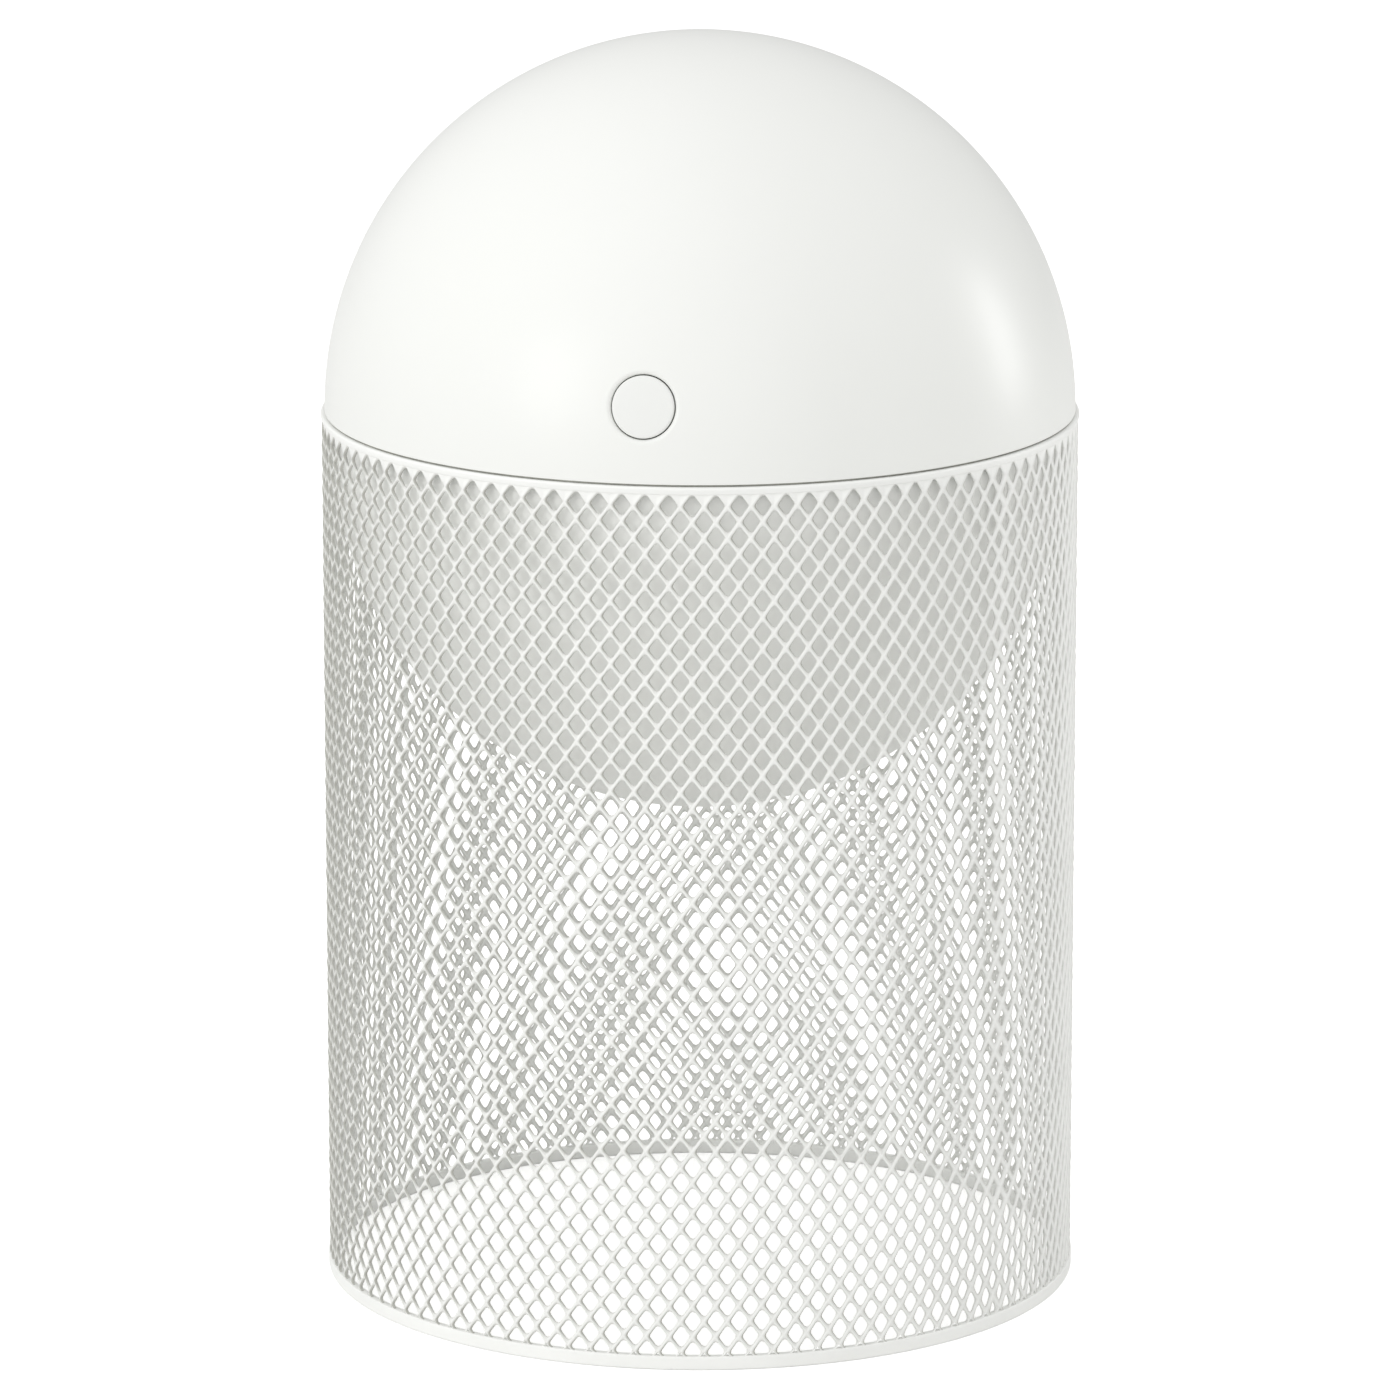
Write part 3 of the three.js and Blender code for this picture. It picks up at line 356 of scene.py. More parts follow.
def sleeve_band(first, last):
    """Faces of the rows from first to last: over the outer face, round each opening's edge and
    back over the inner face. The zigzag edges to the next bands are closed by a wall."""
    faces = []
    for row in range(first, last + 1):
        loops = [cell_loop(outer_number, row)] + [ring[row + 2] for ring in ring_number]
        loops.append(cell_loop(inner_number, row))
        for outside, inside in zip(loops, loops[1:]):
            after_out, after_in = np.roll(outside, -1, axis=1), np.roll(inside, -1, axis=1)
            faces.append(np.stack([outside, after_out, after_in, inside], axis=-1).reshape(-1, 4))
    lower = [cell_loop(shared, first)[:, [6, 7, 8, 9, 10, 11, 0]] for shared in (outer_number, inner_number)]
    upper = [cell_loop(shared, last)[:, :7] for shared in (outer_number, inner_number)]
    faces.append(wall(*lower))
    if last < strand_rows - 1:
        faces.append(wall(*upper))
    return np.concatenate(faces)


def add_socket(group, name, kind, way="INPUT"):
    """Adds one input or output socket to a node group."""
    return group.interface.new_socket(name=name, in_out=way, socket_type=kind)


def grain_group():
    """Shared surface effect: a slow drift between two colours and two roughnesses, and a fine
    grain for the bump. It reads Object coordinates, so it stays with the piece."""
    group = bpy.data.node_groups.new("moulded_grain", "ShaderNodeTree")
    for name, kind in [("Light Colour", "NodeSocketColor"), ("Dark Colour", "NodeSocketColor"),
                       ("Smooth", "NodeSocketFloat"), ("Rough", "NodeSocketFloat"),
                       ("Drift Scale", "NodeSocketFloat"), ("Grain Scale", "NodeSocketFloat")]:
        add_socket(group, name, kind)
    for name, kind in [("Colour", "NodeSocketColor"), ("Roughness", "NodeSocketFloat"),
                       ("Height", "NodeSocketFloat")]:
        add_socket(group, name, kind, "OUTPUT")
    add, link = group.nodes.new, group.links.new
    given, out = add("NodeGroupInput"), add("NodeGroupOutput")
    place = add("ShaderNodeTexCoord")
    drift, grain = add("ShaderNodeTexNoise"), add("ShaderNodeTexNoise")
    drift.inputs["Detail"].default_value = 3
    grain.inputs["Detail"].default_value = 2
    colour, rough = add("ShaderNodeMix"), add("ShaderNodeMix")
    colour.data_type = "RGBA"
    for noise, scale in ((drift, "Drift Scale"), (grain, "Grain Scale")):
        link(place.outputs["Object"], noise.inputs["Vector"])
        link(given.outputs[scale], noise.inputs["Scale"])
    contrast = add("ShaderNodeMapRange")
    contrast.inputs["From Min"].default_value = 0.35
    contrast.inputs["From Max"].default_value = 0.65
    link(drift.outputs["Fac"], contrast.inputs["Value"])
    link(contrast.outputs["Result"], colour.inputs["Factor"])
    link(given.outputs["Light Colour"], colour.inputs["A"])
    link(given.outputs["Dark Colour"], colour.inputs["B"])
    link(grain.outputs["Fac"], rough.inputs["Factor"])
    link(given.outputs["Smooth"], rough.inputs["A"])
    link(given.outputs["Rough"], rough.inputs["B"])
    link(colour.outputs["Result"], out.inputs["Colour"])
    link(rough.outputs["Result"], out.inputs["Roughness"])
    link(grain.outputs["Fac"], out.inputs["Height"])
    return group


moulded_grain = grain_group()


def finish(name, light, dark, smooth, rough, drift=60, grain=2500, bump=0.1, bump_depth=0.02 * MM, **sockets):
    """A material on one Principled shader, its colour, roughness and bump from the shared grain.
    What is the same all over is set on the shader's own sockets, named in sockets."""
    material = bpy.data.materials.new(name)
    material.use_nodes = True
    nodes, links = material.node_tree.nodes, material.node_tree.links
    shader = nodes["Principled BSDF"]
    surface = nodes.new("ShaderNodeGroup")
    surface.node_tree = moulded_grain
    surface.name = "grain"
    surface.inputs["Light Colour"].default_value = (*light, 1)
    surface.inputs["Dark Colour"].default_value = (*dark, 1)
    surface.inputs["Smooth"].default_value = smooth
    surface.inputs["Rough"].default_value = rough
    surface.inputs["Drift Scale"].default_value = drift
    surface.inputs["Grain Scale"].default_value = grain
    relief = nodes.new("ShaderNodeBump")
    relief.name = "relief"
    relief.inputs["Strength"].default_value = bump
    relief.inputs["Distance"].default_value = bump_depth
    links.new(surface.outputs["Colour"], shader.inputs["Base Color"])
    links.new(surface.outputs["Roughness"], shader.inputs["Roughness"])
    links.new(surface.outputs["Height"], relief.inputs["Height"])
    links.new(relief.outputs["Normal"], shader.inputs["Normal"])
    for socket, value in sockets.items():
        shader.inputs[socket.replace("_", " ")].default_value = value
    return material


def fit(piece, body, slot, material, *nodes):
    """Gives a finished piece its material and its body, and hides the frame's nodes that it stands for. The
    slot is not used.
    """
    piece.data.materials.append(material)
    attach(piece, body)
    if nodes:
        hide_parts(*nodes)
    return piece


powder_coat = finish("powder_coat", (0.935, 0.94, 0.918), (0.91, 0.915, 0.892), 0.42, 0.55,
                     drift=40, grain=1800, bump=0.35, bump_depth=0.03 * MM)
coat_nodes, coat_links = powder_coat.node_tree.nodes, powder_coat.node_tree.links
# Painted shade: the coat's colour is mixed towards grey on the openings' edge walls, as the per-corner edge
# mark sets it.
shade_mark = coat_nodes.new("ShaderNodeAttribute")
shade_mark.attribute_name = "slit_edge"
painted_shade = coat_nodes.new("ShaderNodeMix")
painted_shade.data_type = "RGBA"
painted_shade.inputs["B"].default_value = (0.46, 0.46, 0.42, 1)
coat_links.new(shade_mark.outputs["Fac"], painted_shade.inputs["Factor"])
coat_links.new(coat_nodes["grain"].outputs["Colour"], painted_shade.inputs["A"])
coat_links.new(painted_shade.outputs["Result"], coat_nodes["Principled BSDF"].inputs["Base Color"])

bands = 4
dimple_depth = 0.35 * MM
dimple_drop = 0.35 * row_step
band_edges = np.linspace(0, strand_rows, bands + 1).astype(int)
for number, (first, after) in enumerate(zip(band_edges, band_edges[1:]), 1):
    # Each band's corners carry the painted edge shade that the powder coat reads.
    points, faces, marks = sleeve_points, sleeve_band(first, after - 1), slit_edge
    if after == strand_rows:
        top = lowest_row + row_step * strand_rows
        more, fans = half_cells(strand_rows, [6, 7, 8, 9, 10, 11, 0], top, top - dimple_drop, dimple_depth)
        points, faces = np.concatenate([points, more]), np.concatenate([faces, fans])
        marks = np.concatenate([marks, np.zeros(len(more))])
    fit(build(f"guard_mesh_{number}", points, faces, 62, slit_edge=marks), "guard", "powder_coat",
        powder_coat, "mesh_guard")

lip_width = 2.05 * MM
lip_inner = guard_radius - lip_width
lip_round = 0.45 * MM
outer_turn, outer_set_in, outer_drop = 0.3 * MM, 0.55 * MM, 1.15 * MM
inner_turn, inner_drop = 0.2 * MM, 1.2 * MM
lip_profile = np.concatenate([
    arc((guard_radius - outer_set_in, guard_height - outer_drop), outer_turn, -90, 0, 4),
    arc((guard_radius - lip_round, guard_height - lip_round), lip_round, 0, 90, 6),
    arc((lip_inner + lip_round, guard_height - lip_round), lip_round, 90, 180, 6),
    arc((lip_inner + inner_turn, guard_height - inner_drop), inner_turn, 180, 270, 3),
])
ring_columns = 320
fit(build("guard_top_lip", *turned(lip_profile, ring_columns)), "guard", "powder_coat", powder_coat,
    "mesh_guard")

hem_round = 0.5 * MM
hem_width = 1.7 * MM
hem_inner = guard_radius - hem_width
hem_edge, hem_fold = 0.15 * MM, 0.3 * MM
hem_profile = np.concatenate([
    arc((guard_radius - hem_round, hem_round), hem_round, -90, 0, 6),
    [(guard_radius, hem_height * share) for share in (0.35, 0.5, 0.65, 0.8)],
    arc((guard_radius - hem_edge, hem_height - hem_edge), hem_edge, 0, 90, 3),
    arc((hem_inner + hem_fold, hem_height - hem_fold), hem_fold, 90, 180, 4),
    arc((hem_inner + hem_round, hem_round), hem_round, 180, 270, 6),
])
fit(build("guard_base_hem", *turned(hem_profile, ring_columns)), "guard", "powder_coat", powder_coat,
    "mesh_guard")


# ---------- dome ----------
# The head's upper shell: a moulded half ball in satin white plastic, a hair narrower than the
# sleeve, with a sunk hole for the button in front and a recess for the charging port behind.
dome_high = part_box("upper_dome")[1].z
dome_radius = 74.2 * MM
dome_wall = 2.8 * MM
dome_centre = dome_high - dome_radius
dome_inner = dome_radius - dome_wall
dome_columns, dome_rows = 320, 80
dome_step = math.radians(1.125)
button_rise = math.radians(11.25)
hole_radius = 6.2 * MM
hole_round = 0.85 * MM
port_rise = 8 * MM
recess_half = np.array([8.3, 4.8]) * MM
port_half = np.array([5.2, 2.3]) * MM
patch_half = np.array([11.6, 6.55]) * MM    # half the size of the grid's window round the port


def on_sphere(points, radius):
    """Moves points measured from the dome's centre onto a sphere about it."""
    return points * (radius / np.linalg.norm(points, axis=-1, keepdims=True))


def slot_ring(border, half, radius, exponent=4.3):
    """A rounded slot's outline on a sphere, round the charging port: one point for each border
    point, where the line to it meets |x/a|^n + |z/b|^n = 1, and as far out as the sphere."""
    around = border - np.array([0, 0, port_rise])
    flat = around[:, [0, 2]] / patch_half
    flat = flat * (np.abs(flat) ** exponent).sum(axis=1, keepdims=True) ** (-1 / exponent) * half
    height = flat[:, 1] + port_rise
    return np.stack([flat[:, 0], np.sqrt(radius ** 2 - flat[:, 0] ** 2 - height ** 2), height], axis=1)


button_axes = np.array([(1, 0, 0), (0, math.sin(button_rise), math.cos(button_rise)),
                        (0, -math.cos(button_rise), math.sin(button_rise))])


def button_ring(count, radius, height):
    """A circle round the button's axis, at a height along that axis from the dome's centre."""
    angle = math.radians(-135) + np.arange(count) * 2 * np.pi / count
    local = np.stack([radius * np.cos(angle), radius * np.sin(angle), np.full(count, height)], axis=1)
    return local @ button_axes


def window_border(grid, rows, columns):
    """Corner numbers round a window in a grid, anticlockwise seen from outside."""
    (low, high), (left, right) = rows, columns
    return np.concatenate([grid[low, left:right], grid[low:high, right],
                           grid[high, right:left:-1], grid[high:low:-1, left]])


def blended(border, target, radius, steps):
    """Rings on a sphere between a window's border and the shape cut in it."""
    return [on_sphere(border + (target - border) * k / steps, radius) for k in range(1, steps)]


azimuth = np.arange(dome_columns) * dome_step
elevation = np.arange(dome_rows + 1) * dome_step
dome_directions = np.stack(np.broadcast_arrays(
    np.cos(elevation)[:, None] * np.cos(azimuth), np.cos(elevation)[:, None] * np.sin(azimuth),
    np.sin(elevation)[:, None]), axis=-1)
dome_grid = np.arange(dome_directions.size // 3).reshape(dome_directions.shape[:2])
dome_grid[-1] = dome_grid[-1, 0]
windows = {"button": ((2, 18), (232, 248)), "port": ((1, 10), (72, 88))}
kept_cells = np.ones((dome_rows, dome_columns), bool)
for rows, columns in windows.values():
    kept_cells[slice(*rows), slice(*columns)] = False
cells = ring_faces(dome_grid).reshape(dome_rows, dome_columns, 4)[kept_cells]

dome_points = [dome_directions.reshape(-1, 3) * dome_radius, dome_directions.reshape(-1, 3) * dome_inner]
inner_grid = dome_grid + dome_grid.size
dome_faces = [cells, cells[:, ::-1] + dome_grid.size]
next_number = 2 * dome_grid.size

button_border = window_border(dome_grid, *windows["button"])
border_points = dome_points[0][button_border]
count = len(button_border)
mouth = hole_radius + hole_round
mouth_height = math.sqrt(dome_radius ** 2 - mouth ** 2)
far_margin, near_margin = 0.25 * MM, 0.2 * MM   # two close rings keep the mouth's shading crisp
inner_mouth = button_ring(count, hole_radius, math.sqrt(dome_inner ** 2 - hole_radius ** 2))
button_rings = blended(border_points, button_ring(count, mouth + far_margin, mouth_height), dome_radius, 7)
button_rings.append(on_sphere(button_ring(count, mouth + near_margin, mouth_height), dome_radius))
fillet = arc((mouth, mouth_height - hole_round), hole_round, 90, 180, 6)
button_rings += [button_ring(count, *point) for point in fillet]
button_rings += [button_ring(count, hole_radius, mouth_height - depth * MM) for depth in (1.1, 1.6)]
button_rings.append(inner_mouth)
inner_border = dome_points[1][button_border]
button_rings += blended(inner_border, inner_mouth, dome_inner, 6)[::-1]

port_border = window_border(dome_grid, *windows["port"])
border_points = dome_points[0][port_border]
outline = slot_ring(border_points, recess_half + 0.2 * MM, dome_radius)
port_rings = blended(border_points, outline, dome_radius, 6) + [outline]
for grown, sunk in [(0.06, 0.05), (0, 0.18), (0, 1.2), (-0.05, 1.42), (-0.2, 1.5)]:
    port_rings.append(slot_ring(border_points, recess_half + grown * MM, dome_radius - sunk * MM))
for grown, sunk in [(0.5, 1.5), (0.12, 1.5), (0, 1.6), (0, 2.2)]:
    port_rings.append(slot_ring(border_points, port_half + grown * MM, dome_radius - sunk * MM, 3))
inner_outline = slot_ring(border_points, port_half, dome_inner, 3)
port_rings += [inner_outline] + blended(dome_points[1][port_border], inner_outline, dome_inner, 6)[::-1]

for border, rings in ((button_border, button_rings), (port_border, port_rings)):
    numbers = next_number + np.arange(len(rings) * len(border)).reshape(len(rings), len(border))
    next_number += numbers.size
    dome_points += rings
    dome_faces.append(ring_faces(np.vstack([border, numbers, border + dome_grid.size])))

seam_gap = 0.35 * MM                # sleeve's lip to the dome
skirt = guard_height + seam_gap - dome_centre
skirt_profile = np.array([(dome_radius, skirt + 0.12 * MM), (dome_radius - 0.08 * MM, skirt + 0.03 * MM),
                          (dome_radius - 0.2 * MM, skirt), (dome_inner + 0.2 * MM, skirt),
                          (dome_inner + 0.05 * MM, skirt + 0.05 * MM)])
skirt_rings = [radius * dome_directions[0] + np.array([0, 0, height]) for radius, height in skirt_profile]
numbers = next_number + np.arange(len(skirt_rings) * dome_columns).reshape(-1, dome_columns)
dome_faces.append(ring_faces(np.vstack([dome_grid[:1], numbers, inner_grid[:1]]))[:, ::-1])
dome_points += skirt_rings
dome_points = np.concatenate(dome_points) + np.array([0, 0, dome_centre])

white_shell = finish("white_shell", (0.88, 0.888, 0.862), (0.87, 0.878, 0.85), 0.30, 0.40,
                     drift=12, grain=3500, bump=0.08)
fit(build("upper_dome_shell", dome_points, np.concatenate(dome_faces), 55), "head", "white_shell",
    white_shell, "upper_dome")


# ---------- dome hooks ----------
# Four flat hooks moulded on the dome's inside. They snap under the chassis plate's edge and
# hold the two shells together.
hook_outer, hook_thickness, hook_reach = 70 * MM, 1.4 * MM, 1.2 * MM
hook_half_width = 4 * MM
barb_slope, hook_edge = 0.3 * MM, 0.2 * MM
hook_foot, barb_top, hook_top = 169.4 * MM, 170.6 * MM, 181 * MM


def prism(outline, half_width, turn=0):
    """An outline of (radius, height), clockwise, carried across by half_width to each side of the
    plane through Z, then turned about Z."""
    count = len(outline)
    outline = np.asarray(outline)
    across = np.repeat([-half_width, half_width], count)
    radius, height = np.tile(outline[:, 0], 2), np.tile(outline[:, 1], 2)
    points = np.stack([radius * math.cos(turn) - across * math.sin(turn),
                       radius * math.sin(turn) + across * math.cos(turn), height], axis=1)
    sides = ring_faces(np.arange(2 * count).reshape(2, count))
    inner = np.arange(1, count - 1, 2)
    last = np.minimum(inner + 2, count - 1)
    cap = np.stack([np.zeros_like(inner), inner, inner + 1, last], axis=1)
    return points, np.concatenate([sides, cap[:, ::-1], cap + count])


def softened(piece, width):
    """Rounds a piece's sharp edges."""
    bevel = piece.modifiers.new("edges", "BEVEL")
    bevel.width = width
    bevel.segments = 2
    bevel.limit_method = "ANGLE"
    bevel.angle_limit = math.radians(40)
    return piece


hook_outline = [(hook_outer, hook_foot), (hook_outer, hook_top), (hook_outer - hook_thickness, hook_top),
                (hook_outer - hook_thickness, barb_top),
                (hook_outer - hook_thickness - hook_reach, barb_top - barb_slope),
                (hook_outer - hook_thickness, hook_foot)]
for number in range(4):
    points, faces = prism(hook_outline[::-1], hook_half_width, math.radians(45 + 90 * number))
    hook = build(f"dome_hook_{number + 1}", points, faces, 30)
    fit(softened(hook, hook_edge), "head", "white_shell", white_shell, "upper_dome")


# ---------- charging port cover ----------
# A small flap of the dome's plastic, curved with it, hinged along its lower edge at the back. A
# rubber plug behind it seals the charging hole.
flap_half = np.array([8.0, 4.5]) * MM
flap_thickness = 1.2 * MM
flap_edge = 0.25 * MM
plug_half = np.array([4.1, 1.3]) * MM
plug_end = 70.5 * MM
plug_overlap = 0.3 * MM             # plug's root inside the flap
port_directions = dome_points[port_border] - np.array([0, 0, dome_centre])


def capped(rings):
    """Rings of equal count joined in turn, with the first and the last closed at their middles."""
    count = len(rings[0])
    ends = [rings[end].mean(axis=0, keepdims=True) for end in (0, -1)]
    points = np.concatenate(rings + ends)
    numbers = np.arange(len(rings) * count).reshape(len(rings), count)
    first = np.full((1, count), len(rings) * count)
    return points, ring_faces(np.vstack([first, numbers, first + 1]))


flap_rings = [slot_ring(port_directions, flap_half * share, dome_radius) for share in (0.25, 0.5, 0.75, 0.92)]
flap_rings += [slot_ring(port_directions, flap_half - inset, dome_radius - sunk)
               for inset, sunk in [(flap_edge, 0), (0.08 * MM, 0.08 * MM), (0, flap_edge),
                                   (0, flap_thickness - 0.1 * MM), (0.1 * MM, flap_thickness)]]
flap_rings += [slot_ring(port_directions, flap_half * share, dome_radius - flap_thickness)
               for share in (0.7, 0.35)]
points, faces = capped(flap_rings)
flap = build("charge_port_flap", points + np.array([0, 0, dome_centre]), faces, 50)
fit(flap, "port_cover", "white_shell", white_shell, "charge_port_cover")

white_rubber = finish("white_rubber", (0.74, 0.74, 0.72), (0.70, 0.70, 0.68), 0.6, 0.75, grain=2200, bump=0.2)
behind = dome_radius - flap_thickness + plug_overlap
plug_rings = []
for share, reach_y in [(1, None), (1, plug_end + 0.5 * MM), (0.96, plug_end + 0.15 * MM), (0.85, plug_end)]:
    ring = slot_ring(port_directions, plug_half * share, behind, 3)
    if reach_y:
        ring[:, 1] = reach_y
    plug_rings.append(ring)
points, faces = capped(plug_rings)
plug = build("charge_port_plug", points + np.array([0, 0, dome_centre]), faces, 50)
fit(plug, "port_cover", "white_rubber", white_rubber, "charge_port_cover")


# ---------- power button ----------
# A round push button of the same plastic, crowned to the dome's curve, that slides in the hole
# on a stem. The flange behind the shell keeps it in, and the stem works a switch.
button_radius = 6.0 * MM
button_edge = 0.45 * MM
crown = np.linspace(0, button_radius - button_edge, 12)
face_drop = crown ** 2 / (2 * dome_radius)
button_top = math.sqrt(dome_radius ** 2 - button_radius ** 2) + 0.1 * MM
flange_front, flange_back = 70.2 * MM, 69.0 * MM
stem_radius, stem_end = 2 * MM, 66.0 * MM
flange_radius, flange_edge = 7.2 * MM, 0.2 * MM
button_profile = np.concatenate([
    [(0, stem_end), (1.7 * MM, stem_end), (stem_radius, stem_end + 0.3 * MM), (stem_radius, flange_back)],
    [(7.0 * MM, flange_back), (flange_radius, flange_back + flange_edge),
     (flange_radius, flange_front - flange_edge)],
    [(7.0 * MM, flange_front), (button_radius + 0.1 * MM, flange_front),
     (button_radius, flange_front + 0.1 * MM), (button_radius, button_top - 1.6 * MM)],
    arc((button_radius - button_edge, button_top - button_edge - face_drop[-1]), button_edge, 0, 90, 6),
    np.stack([crown, button_top - face_drop], axis=1)[-2::-1],
])
points, faces = turned(button_profile, 96)
points = points @ button_axes + np.array([0, 0, dome_centre])
white_button = finish("white_button", (0.85, 0.858, 0.835), (0.84, 0.848, 0.825), 0.34, 0.44,
                      drift=30, grain=3500, bump=0.08)
fit(build("power_button_cap", points, faces, 40), "button", "white_shell", white_button, "power_button")


# ---------- seat gasket ----------
# A flat ring of dark rubber between the sleeve's lip and the dome, which shows as a thin line.
gasket_low, gasket_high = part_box("seat_gasket")
gasket_outer = 73.85 * MM
gasket_inner = 73.1 * MM
gasket_edge = 0.06 * MM
gasket_profile = [(gasket_inner, gasket_low.z), (gasket_outer - gasket_edge, gasket_low.z),
                  (gasket_outer, gasket_low.z + gasket_edge), (gasket_outer, gasket_high.z - gasket_edge),
                  (gasket_outer - gasket_edge, gasket_high.z), (gasket_inner, gasket_high.z)]
dark_rubber = finish("dark_rubber", (0.36, 0.36, 0.32), (0.30, 0.30, 0.27), 0.7, 0.9, bump=0.3)
fit(build("seat_gasket_ring", *turned(gasket_profile, ring_columns)), "head", "dark_rubber", dark_rubber,
    "seat_gasket")


# ---------- bowl ----------
# The head's lower shell: a smooth, slightly greyer half ball inside the sleeve, with a flat and
# an opening at its pole where the grid head looks down, and a floor that the grid head seats on.
bowl_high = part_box("lower_bowl")[1]
bowl_radius = 72.6 * MM
bowl_inner = 70.4 * MM
bowl_drop = 6.45 * MM               # bowl's middle below its rim
bowl_centre = bowl_high.z - bowl_drop
flat_radius = 17.6 * MM
flat_height = bowl_centre - math.sqrt(bowl_radius ** 2 - flat_radius ** 2)
grille_seat = 16.3 * MM
grille_top = 100.02 * MM
port_radius = 13 * MM
floor_top = 102.22 * MM
pad_radius = 22 * MM
rim_round = 0.6 * MM
port_edge, seat_edge = 0.2 * MM, 0.1 * MM
flat_angle = -math.degrees(math.acos(flat_radius / bowl_radius))
pad_angle = -math.degrees(math.acos(pad_radius / bowl_inner))
bowl_profile = np.concatenate([
    [(flat_radius - 0.25 * MM, flat_height)],
    arc((0, bowl_centre), bowl_radius, flat_angle + 0.25, 0, 90),
    arc((bowl_radius - rim_round, bowl_high.z - rim_round), rim_round, 0, 90, 5),
    arc((bowl_inner + rim_round, bowl_high.z - rim_round), rim_round, 90, 180, 5),
    arc((0, bowl_centre), bowl_inner, 0, pad_angle, 70),
    [(pad_radius, floor_top), (port_radius + port_edge, floor_top), (port_radius, floor_top - port_edge)],
    [(port_radius, grille_top + seat_edge), (port_radius + seat_edge, grille_top)],
    [(grille_seat - seat_edge, grille_top), (grille_seat, grille_top - seat_edge)],
    [(grille_seat, flat_height + port_edge), (grille_seat + port_edge, flat_height)],
])
white_bowl = finish("white_bowl", (0.925, 0.93, 0.905), (0.91, 0.915, 0.89), 0.45, 0.55,
                    drift=12, grain=3000, bump=0.1)
fit(build("lower_bowl_shell", *turned(bowl_profile, 256), 40), "head", "white_bowl", white_bowl, "lower_bowl")


# ---------- bowl bosses ----------
# Four round bosses moulded in the bowl, with pilot holes for the screws of the chassis plate.
boss_ring, boss_radius, pilot_radius = 64 * MM, 3.2 * MM, 1.5 * MM
boss_top = 170.95 * MM
boss_sink = 1 * MM                  # boss's middle below the bowl's inside
boss_middle = bowl_centre - math.sqrt(bowl_inner ** 2 - boss_ring ** 2) - boss_sink
pilot_depth, boss_edge = 11 * MM, 0.2 * MM
pilot_foot = boss_top - pilot_depth
foot_sink = 0.8 * MM                # foot inside the bowl's wall
boss_shape = [(0, pilot_foot), (pilot_radius, pilot_foot), (pilot_radius, boss_top - boss_edge),
              (pilot_radius + boss_edge, boss_top), (boss_radius - boss_edge, boss_top),
              (boss_radius, boss_top - boss_edge), (boss_radius, boss_middle), (0, boss_middle)]
for number in range(4):
    points, faces = turned(boss_shape[::-1], 36)
    turn = math.radians(90 * number)
    points = points + np.array([boss_ring * math.cos(turn), boss_ring * math.sin(turn), 0])
    # The foot follows the bowl's inside: z = c - sqrt(r^2 - x^2 - y^2), a little into the wall.
    low = points[:, 2] < boss_middle + 1e-6
    spread = np.hypot(points[low, 0], points[low, 1])
    points[low, 2] = bowl_centre - np.sqrt(np.maximum((bowl_inner + foot_sink) ** 2 - spread ** 2, 1e-6))
    boss = build(f"bowl_boss_{number + 1}", points, faces, 40)
    fit(boss, "head", "white_bowl", white_bowl, "lower_bowl")


# ---------- chassis plate and its screws ----------
# A flat moulded plate of grey plastic that carries everything inside the head, held to the
# bowl's bosses by four steel screws with rounded heads.
def dress(material, *nodes):
    """Puts a material on pieces that are shown with the frame's own shape."""
    for node in nodes:
        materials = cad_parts[node].data.materials
        materials.clear()
        materials.append(material)


grey_plastic = finish("grey_plastic", (0.56, 0.575, 0.565), (0.52, 0.535, 0.525), 0.5, 0.66,
                      drift=25, grain=2400, bump=0.25, bump_depth=0.04 * MM)
dress(grey_plastic, "chassis_plate", "button_bracket")
steel = finish("steel", (0.60, 0.61, 0.62), (0.50, 0.51, 0.53), 0.26, 0.42,
               drift=300, grain=4000, Metallic=1.0)
dress(steel, *[f"chassis_screw_{number}" for number in range(1, 5)])


# ---------- battery ----------
# Two cylindrical lithium cells in blue shrink wrap, with steel ends, side by side in a black
# moulded tray.
black_plastic = finish("black_plastic", (0.022, 0.023, 0.024), (0.015, 0.015, 0.016), 0.42, 0.6,
                       drift=50, grain=2600, bump=0.2, bump_depth=0.03 * MM)
dress(black_plastic, "battery_holder", "tact_switch")
cell_wrap = finish("cell_wrap", (0.03, 0.16, 0.42), (0.025, 0.13, 0.36), 0.25, 0.36, drift=35, grain=1500)
cell_end = 32.3 * MM


def beyond(material, axis, distance, colour, metallic):
    """Gives a material bare metal where a piece's own coordinate is further out than distance."""
    nodes, links = material.node_tree.nodes, material.node_tree.links
    shader = nodes["Principled BSDF"]
    place, split = nodes.new("ShaderNodeTexCoord"), nodes.new("ShaderNodeSeparateXYZ")
    size, past = nodes.new("ShaderNodeMath"), nodes.new("ShaderNodeMath")
    size.operation, past.operation = "ABSOLUTE", "GREATER_THAN"
    past.inputs[1].default_value = distance
    links.new(place.outputs["Object"], split.inputs["Vector"])
    links.new(split.outputs[axis], size.inputs[0])
    links.new(size.outputs["Value"], past.inputs[0])
    blend = nodes.new("ShaderNodeMix")
    blend.data_type = "RGBA"
    blend.inputs["B"].default_value = (*colour, 1)
    links.new(past.outputs["Value"], blend.inputs["Factor"])
    links.new(nodes["grain"].outputs["Colour"], blend.inputs["A"])
    links.new(blend.outputs["Result"], shader.inputs["Base Color"])
    shine = nodes.new("ShaderNodeMath")
    shine.operation = "MULTIPLY"
    shine.inputs[1].default_value = metallic
    links.new(past.outputs["Value"], shine.inputs[0])
    links.new(shine.outputs["Value"], shader.inputs["Metallic"])


beyond(cell_wrap, "X", cell_end, (0.62, 0.62, 0.6), 1)
dress(cell_wrap, "battery_cell_1", "battery_cell_2")


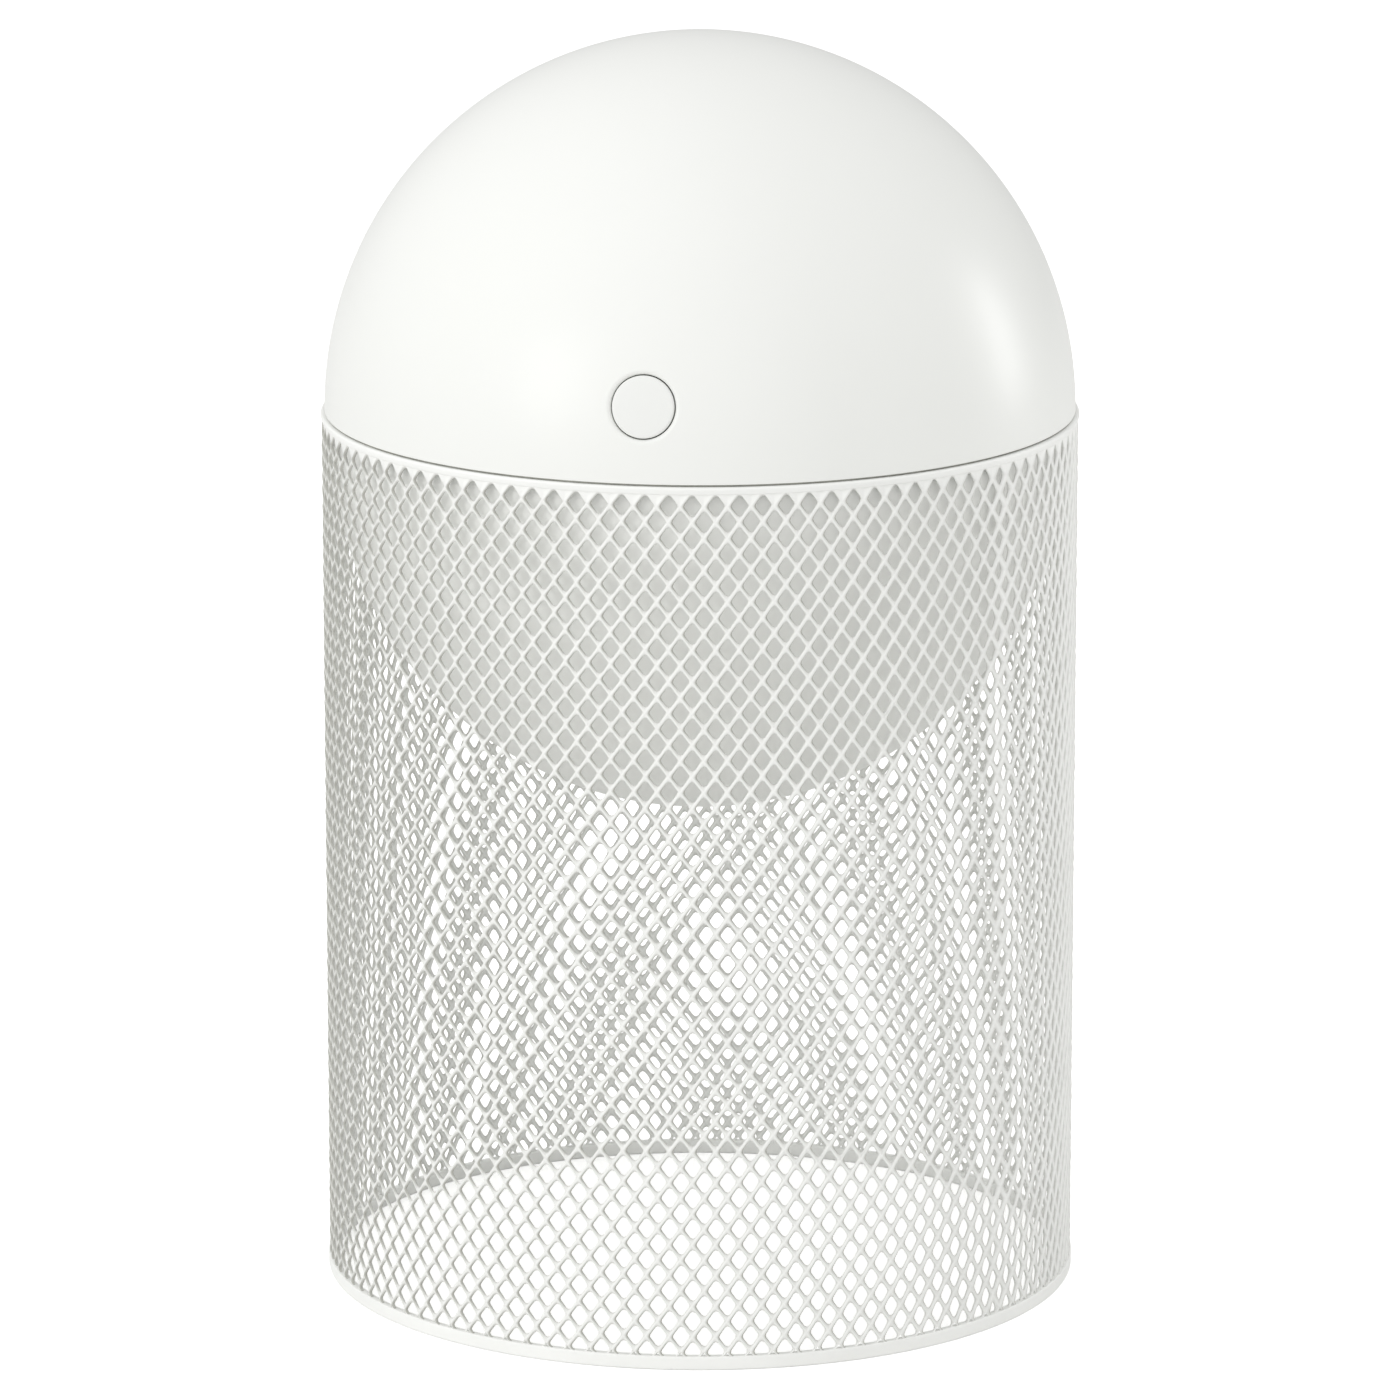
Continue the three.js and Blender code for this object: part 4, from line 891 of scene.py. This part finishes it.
# ---------- circuit boards ----------
# Glass-fibre boards under a coloured mask: the main board and the button's are green, and the
# lamp board is white. Tracks stand out a little under the mask.
def board_finish(name, mask, track):
    """A board's material: tracks are the mortar of a brick pattern, and pads are cells of a
    Voronoi pattern near their middles."""
    material = finish(name, mask, mask, 0.32, 0.45, grain=3200, bump=0.5, bump_depth=0.035 * MM)
    nodes, links = material.node_tree.nodes, material.node_tree.links
    shader = nodes["Principled BSDF"]
    place = nodes.new("ShaderNodeTexCoord")
    tracks, pads = nodes.new("ShaderNodeTexBrick"), nodes.new("ShaderNodeTexVoronoi")
    tracks.inputs["Scale"].default_value = 140
    tracks.inputs["Mortar Size"].default_value = 0.035
    tracks.inputs["Color1"].default_value = (0, 0, 0, 1)
    tracks.inputs["Color2"].default_value = (0, 0, 0, 1)
    tracks.inputs["Mortar"].default_value = (1, 1, 1, 1)
    pads.inputs["Scale"].default_value = 260
    near_pad = nodes.new("ShaderNodeMath")
    near_pad.operation = "LESS_THAN"
    near_pad.inputs[1].default_value = 0.16
    copper_here = nodes.new("ShaderNodeMath")
    copper_here.operation = "MAXIMUM"
    blend = nodes.new("ShaderNodeMix")
    blend.data_type = "RGBA"
    blend.inputs["B"].default_value = (*track, 1)
    links.new(place.outputs["Object"], tracks.inputs["Vector"])
    links.new(place.outputs["Object"], pads.inputs["Vector"])
    links.new(pads.outputs["Distance"], near_pad.inputs[0])
    links.new(tracks.outputs["Color"], copper_here.inputs[0])
    links.new(near_pad.outputs["Value"], copper_here.inputs[1])
    links.new(copper_here.outputs["Value"], blend.inputs["Factor"])
    links.new(nodes["grain"].outputs["Colour"], blend.inputs["A"])
    links.new(blend.outputs["Result"], shader.inputs["Base Color"])
    links.new(copper_here.outputs["Value"], nodes["relief"].inputs["Height"])
    return material


dress(board_finish("circuit_board", (0.012, 0.10, 0.045), (0.05, 0.24, 0.10)), "main_board", "button_board")
dress(board_finish("led_board", (0.80, 0.81, 0.80), (0.70, 0.71, 0.68)), "uv_led_board")


# ---------- parts on the main board ----------
# The charging socket, two chips, and the step-up transformer with its capacitors, all soldered
# to the board.
dress(steel, "usb_c_socket")
chip_case = finish("chip_case", (0.03, 0.03, 0.032), (0.022, 0.022, 0.024), 0.5, 0.7, grain=5000, bump=0.3)
dress(chip_case, "charge_chip", "control_chip")
ferrite = finish("ferrite", (0.035, 0.034, 0.034), (0.02, 0.02, 0.02), 0.55, 0.8,
                 drift=500, grain=3500, bump=0.5)
dress(ferrite, "transformer_core")
can_sleeve = finish("can_sleeve", (0.02, 0.022, 0.03), (0.014, 0.015, 0.02), 0.22, 0.34, drift=60)
dress(can_sleeve, "storage_capacitor")
film_case = finish("film_case", (0.48, 0.16, 0.035), (0.40, 0.12, 0.025), 0.2, 0.34,
                   drift=120, grain=800, bump=0.3)
dress(film_case, "hv_capacitor")

copper_wire = finish("copper_wire", (0.72, 0.30, 0.13), (0.55, 0.20, 0.08), 0.22, 0.36,
                     drift=400, Metallic=1.0)
wire_nodes, wire_links = copper_wire.node_tree.nodes, copper_wire.node_tree.links
wire_place, turns = wire_nodes.new("ShaderNodeTexCoord"), wire_nodes.new("ShaderNodeTexWave")
turns.bands_direction = "Y"
turns.inputs["Scale"].default_value = 700
wire_nodes["relief"].inputs["Strength"].default_value = 0.8
wire_nodes["relief"].inputs["Distance"].default_value = 0.15 * MM
wire_links.new(wire_place.outputs["Object"], turns.inputs["Vector"])
wire_links.new(turns.outputs["Fac"], wire_nodes["relief"].inputs["Height"])
dress(copper_wire, "transformer_winding")


# ---------- grid head ----------
# A grey carrier in the bowl's pole holds two combs of steel bars, a clear window above them, and
# six ultraviolet lamps. A finger guard closes the port below, held by three small screws.
dress(grey_plastic, "grid_carrier")
comb_steel = finish("comb_steel", (0.66, 0.67, 0.68), (0.56, 0.57, 0.59), 0.3, 0.5, drift=700, grain=5000,
                    Metallic=1.0)
dress(comb_steel, "electrode_positive", "electrode_negative")
window_clear = finish("window_clear", (0.93, 0.95, 0.99), (0.91, 0.93, 0.98), 0.03, 0.07, bump=0.02,
                      Transmission_Weight=1.0, IOR=1.49)
dress(window_clear, "uv_window")
led_clear = finish("led_clear", (0.72, 0.70, 0.98), (0.66, 0.62, 0.95), 0.05, 0.1, bump=0.02,
                   Transmission_Weight=0.85, IOR=1.5)
dress(led_clear, *[f"uv_led_{number}" for number in range(1, 7)])
dress(white_bowl, "port_grille")
dress(steel, *[f"port_screw_{number}" for number in range(1, 4)])


# ---------- leads ----------
# Stranded wires in soft plastic: red and black for power and high voltage, grey for signals.
lead_red = finish("lead_red", (0.50, 0.025, 0.02), (0.42, 0.018, 0.015), 0.35, 0.5, drift=90, bump=0.2)
lead_black = finish("lead_black", (0.02, 0.02, 0.02), (0.014, 0.014, 0.014), 0.35, 0.5, drift=90, bump=0.2)
lead_grey = finish("lead_grey", (0.42, 0.43, 0.43), (0.37, 0.38, 0.38), 0.38, 0.52, drift=90, bump=0.2)
dress(lead_red, "battery_lead_positive", "hv_lead_positive")
dress(lead_black, "battery_lead_negative", "hv_lead_negative")
dress(lead_grey, "button_lead", "led_lead")
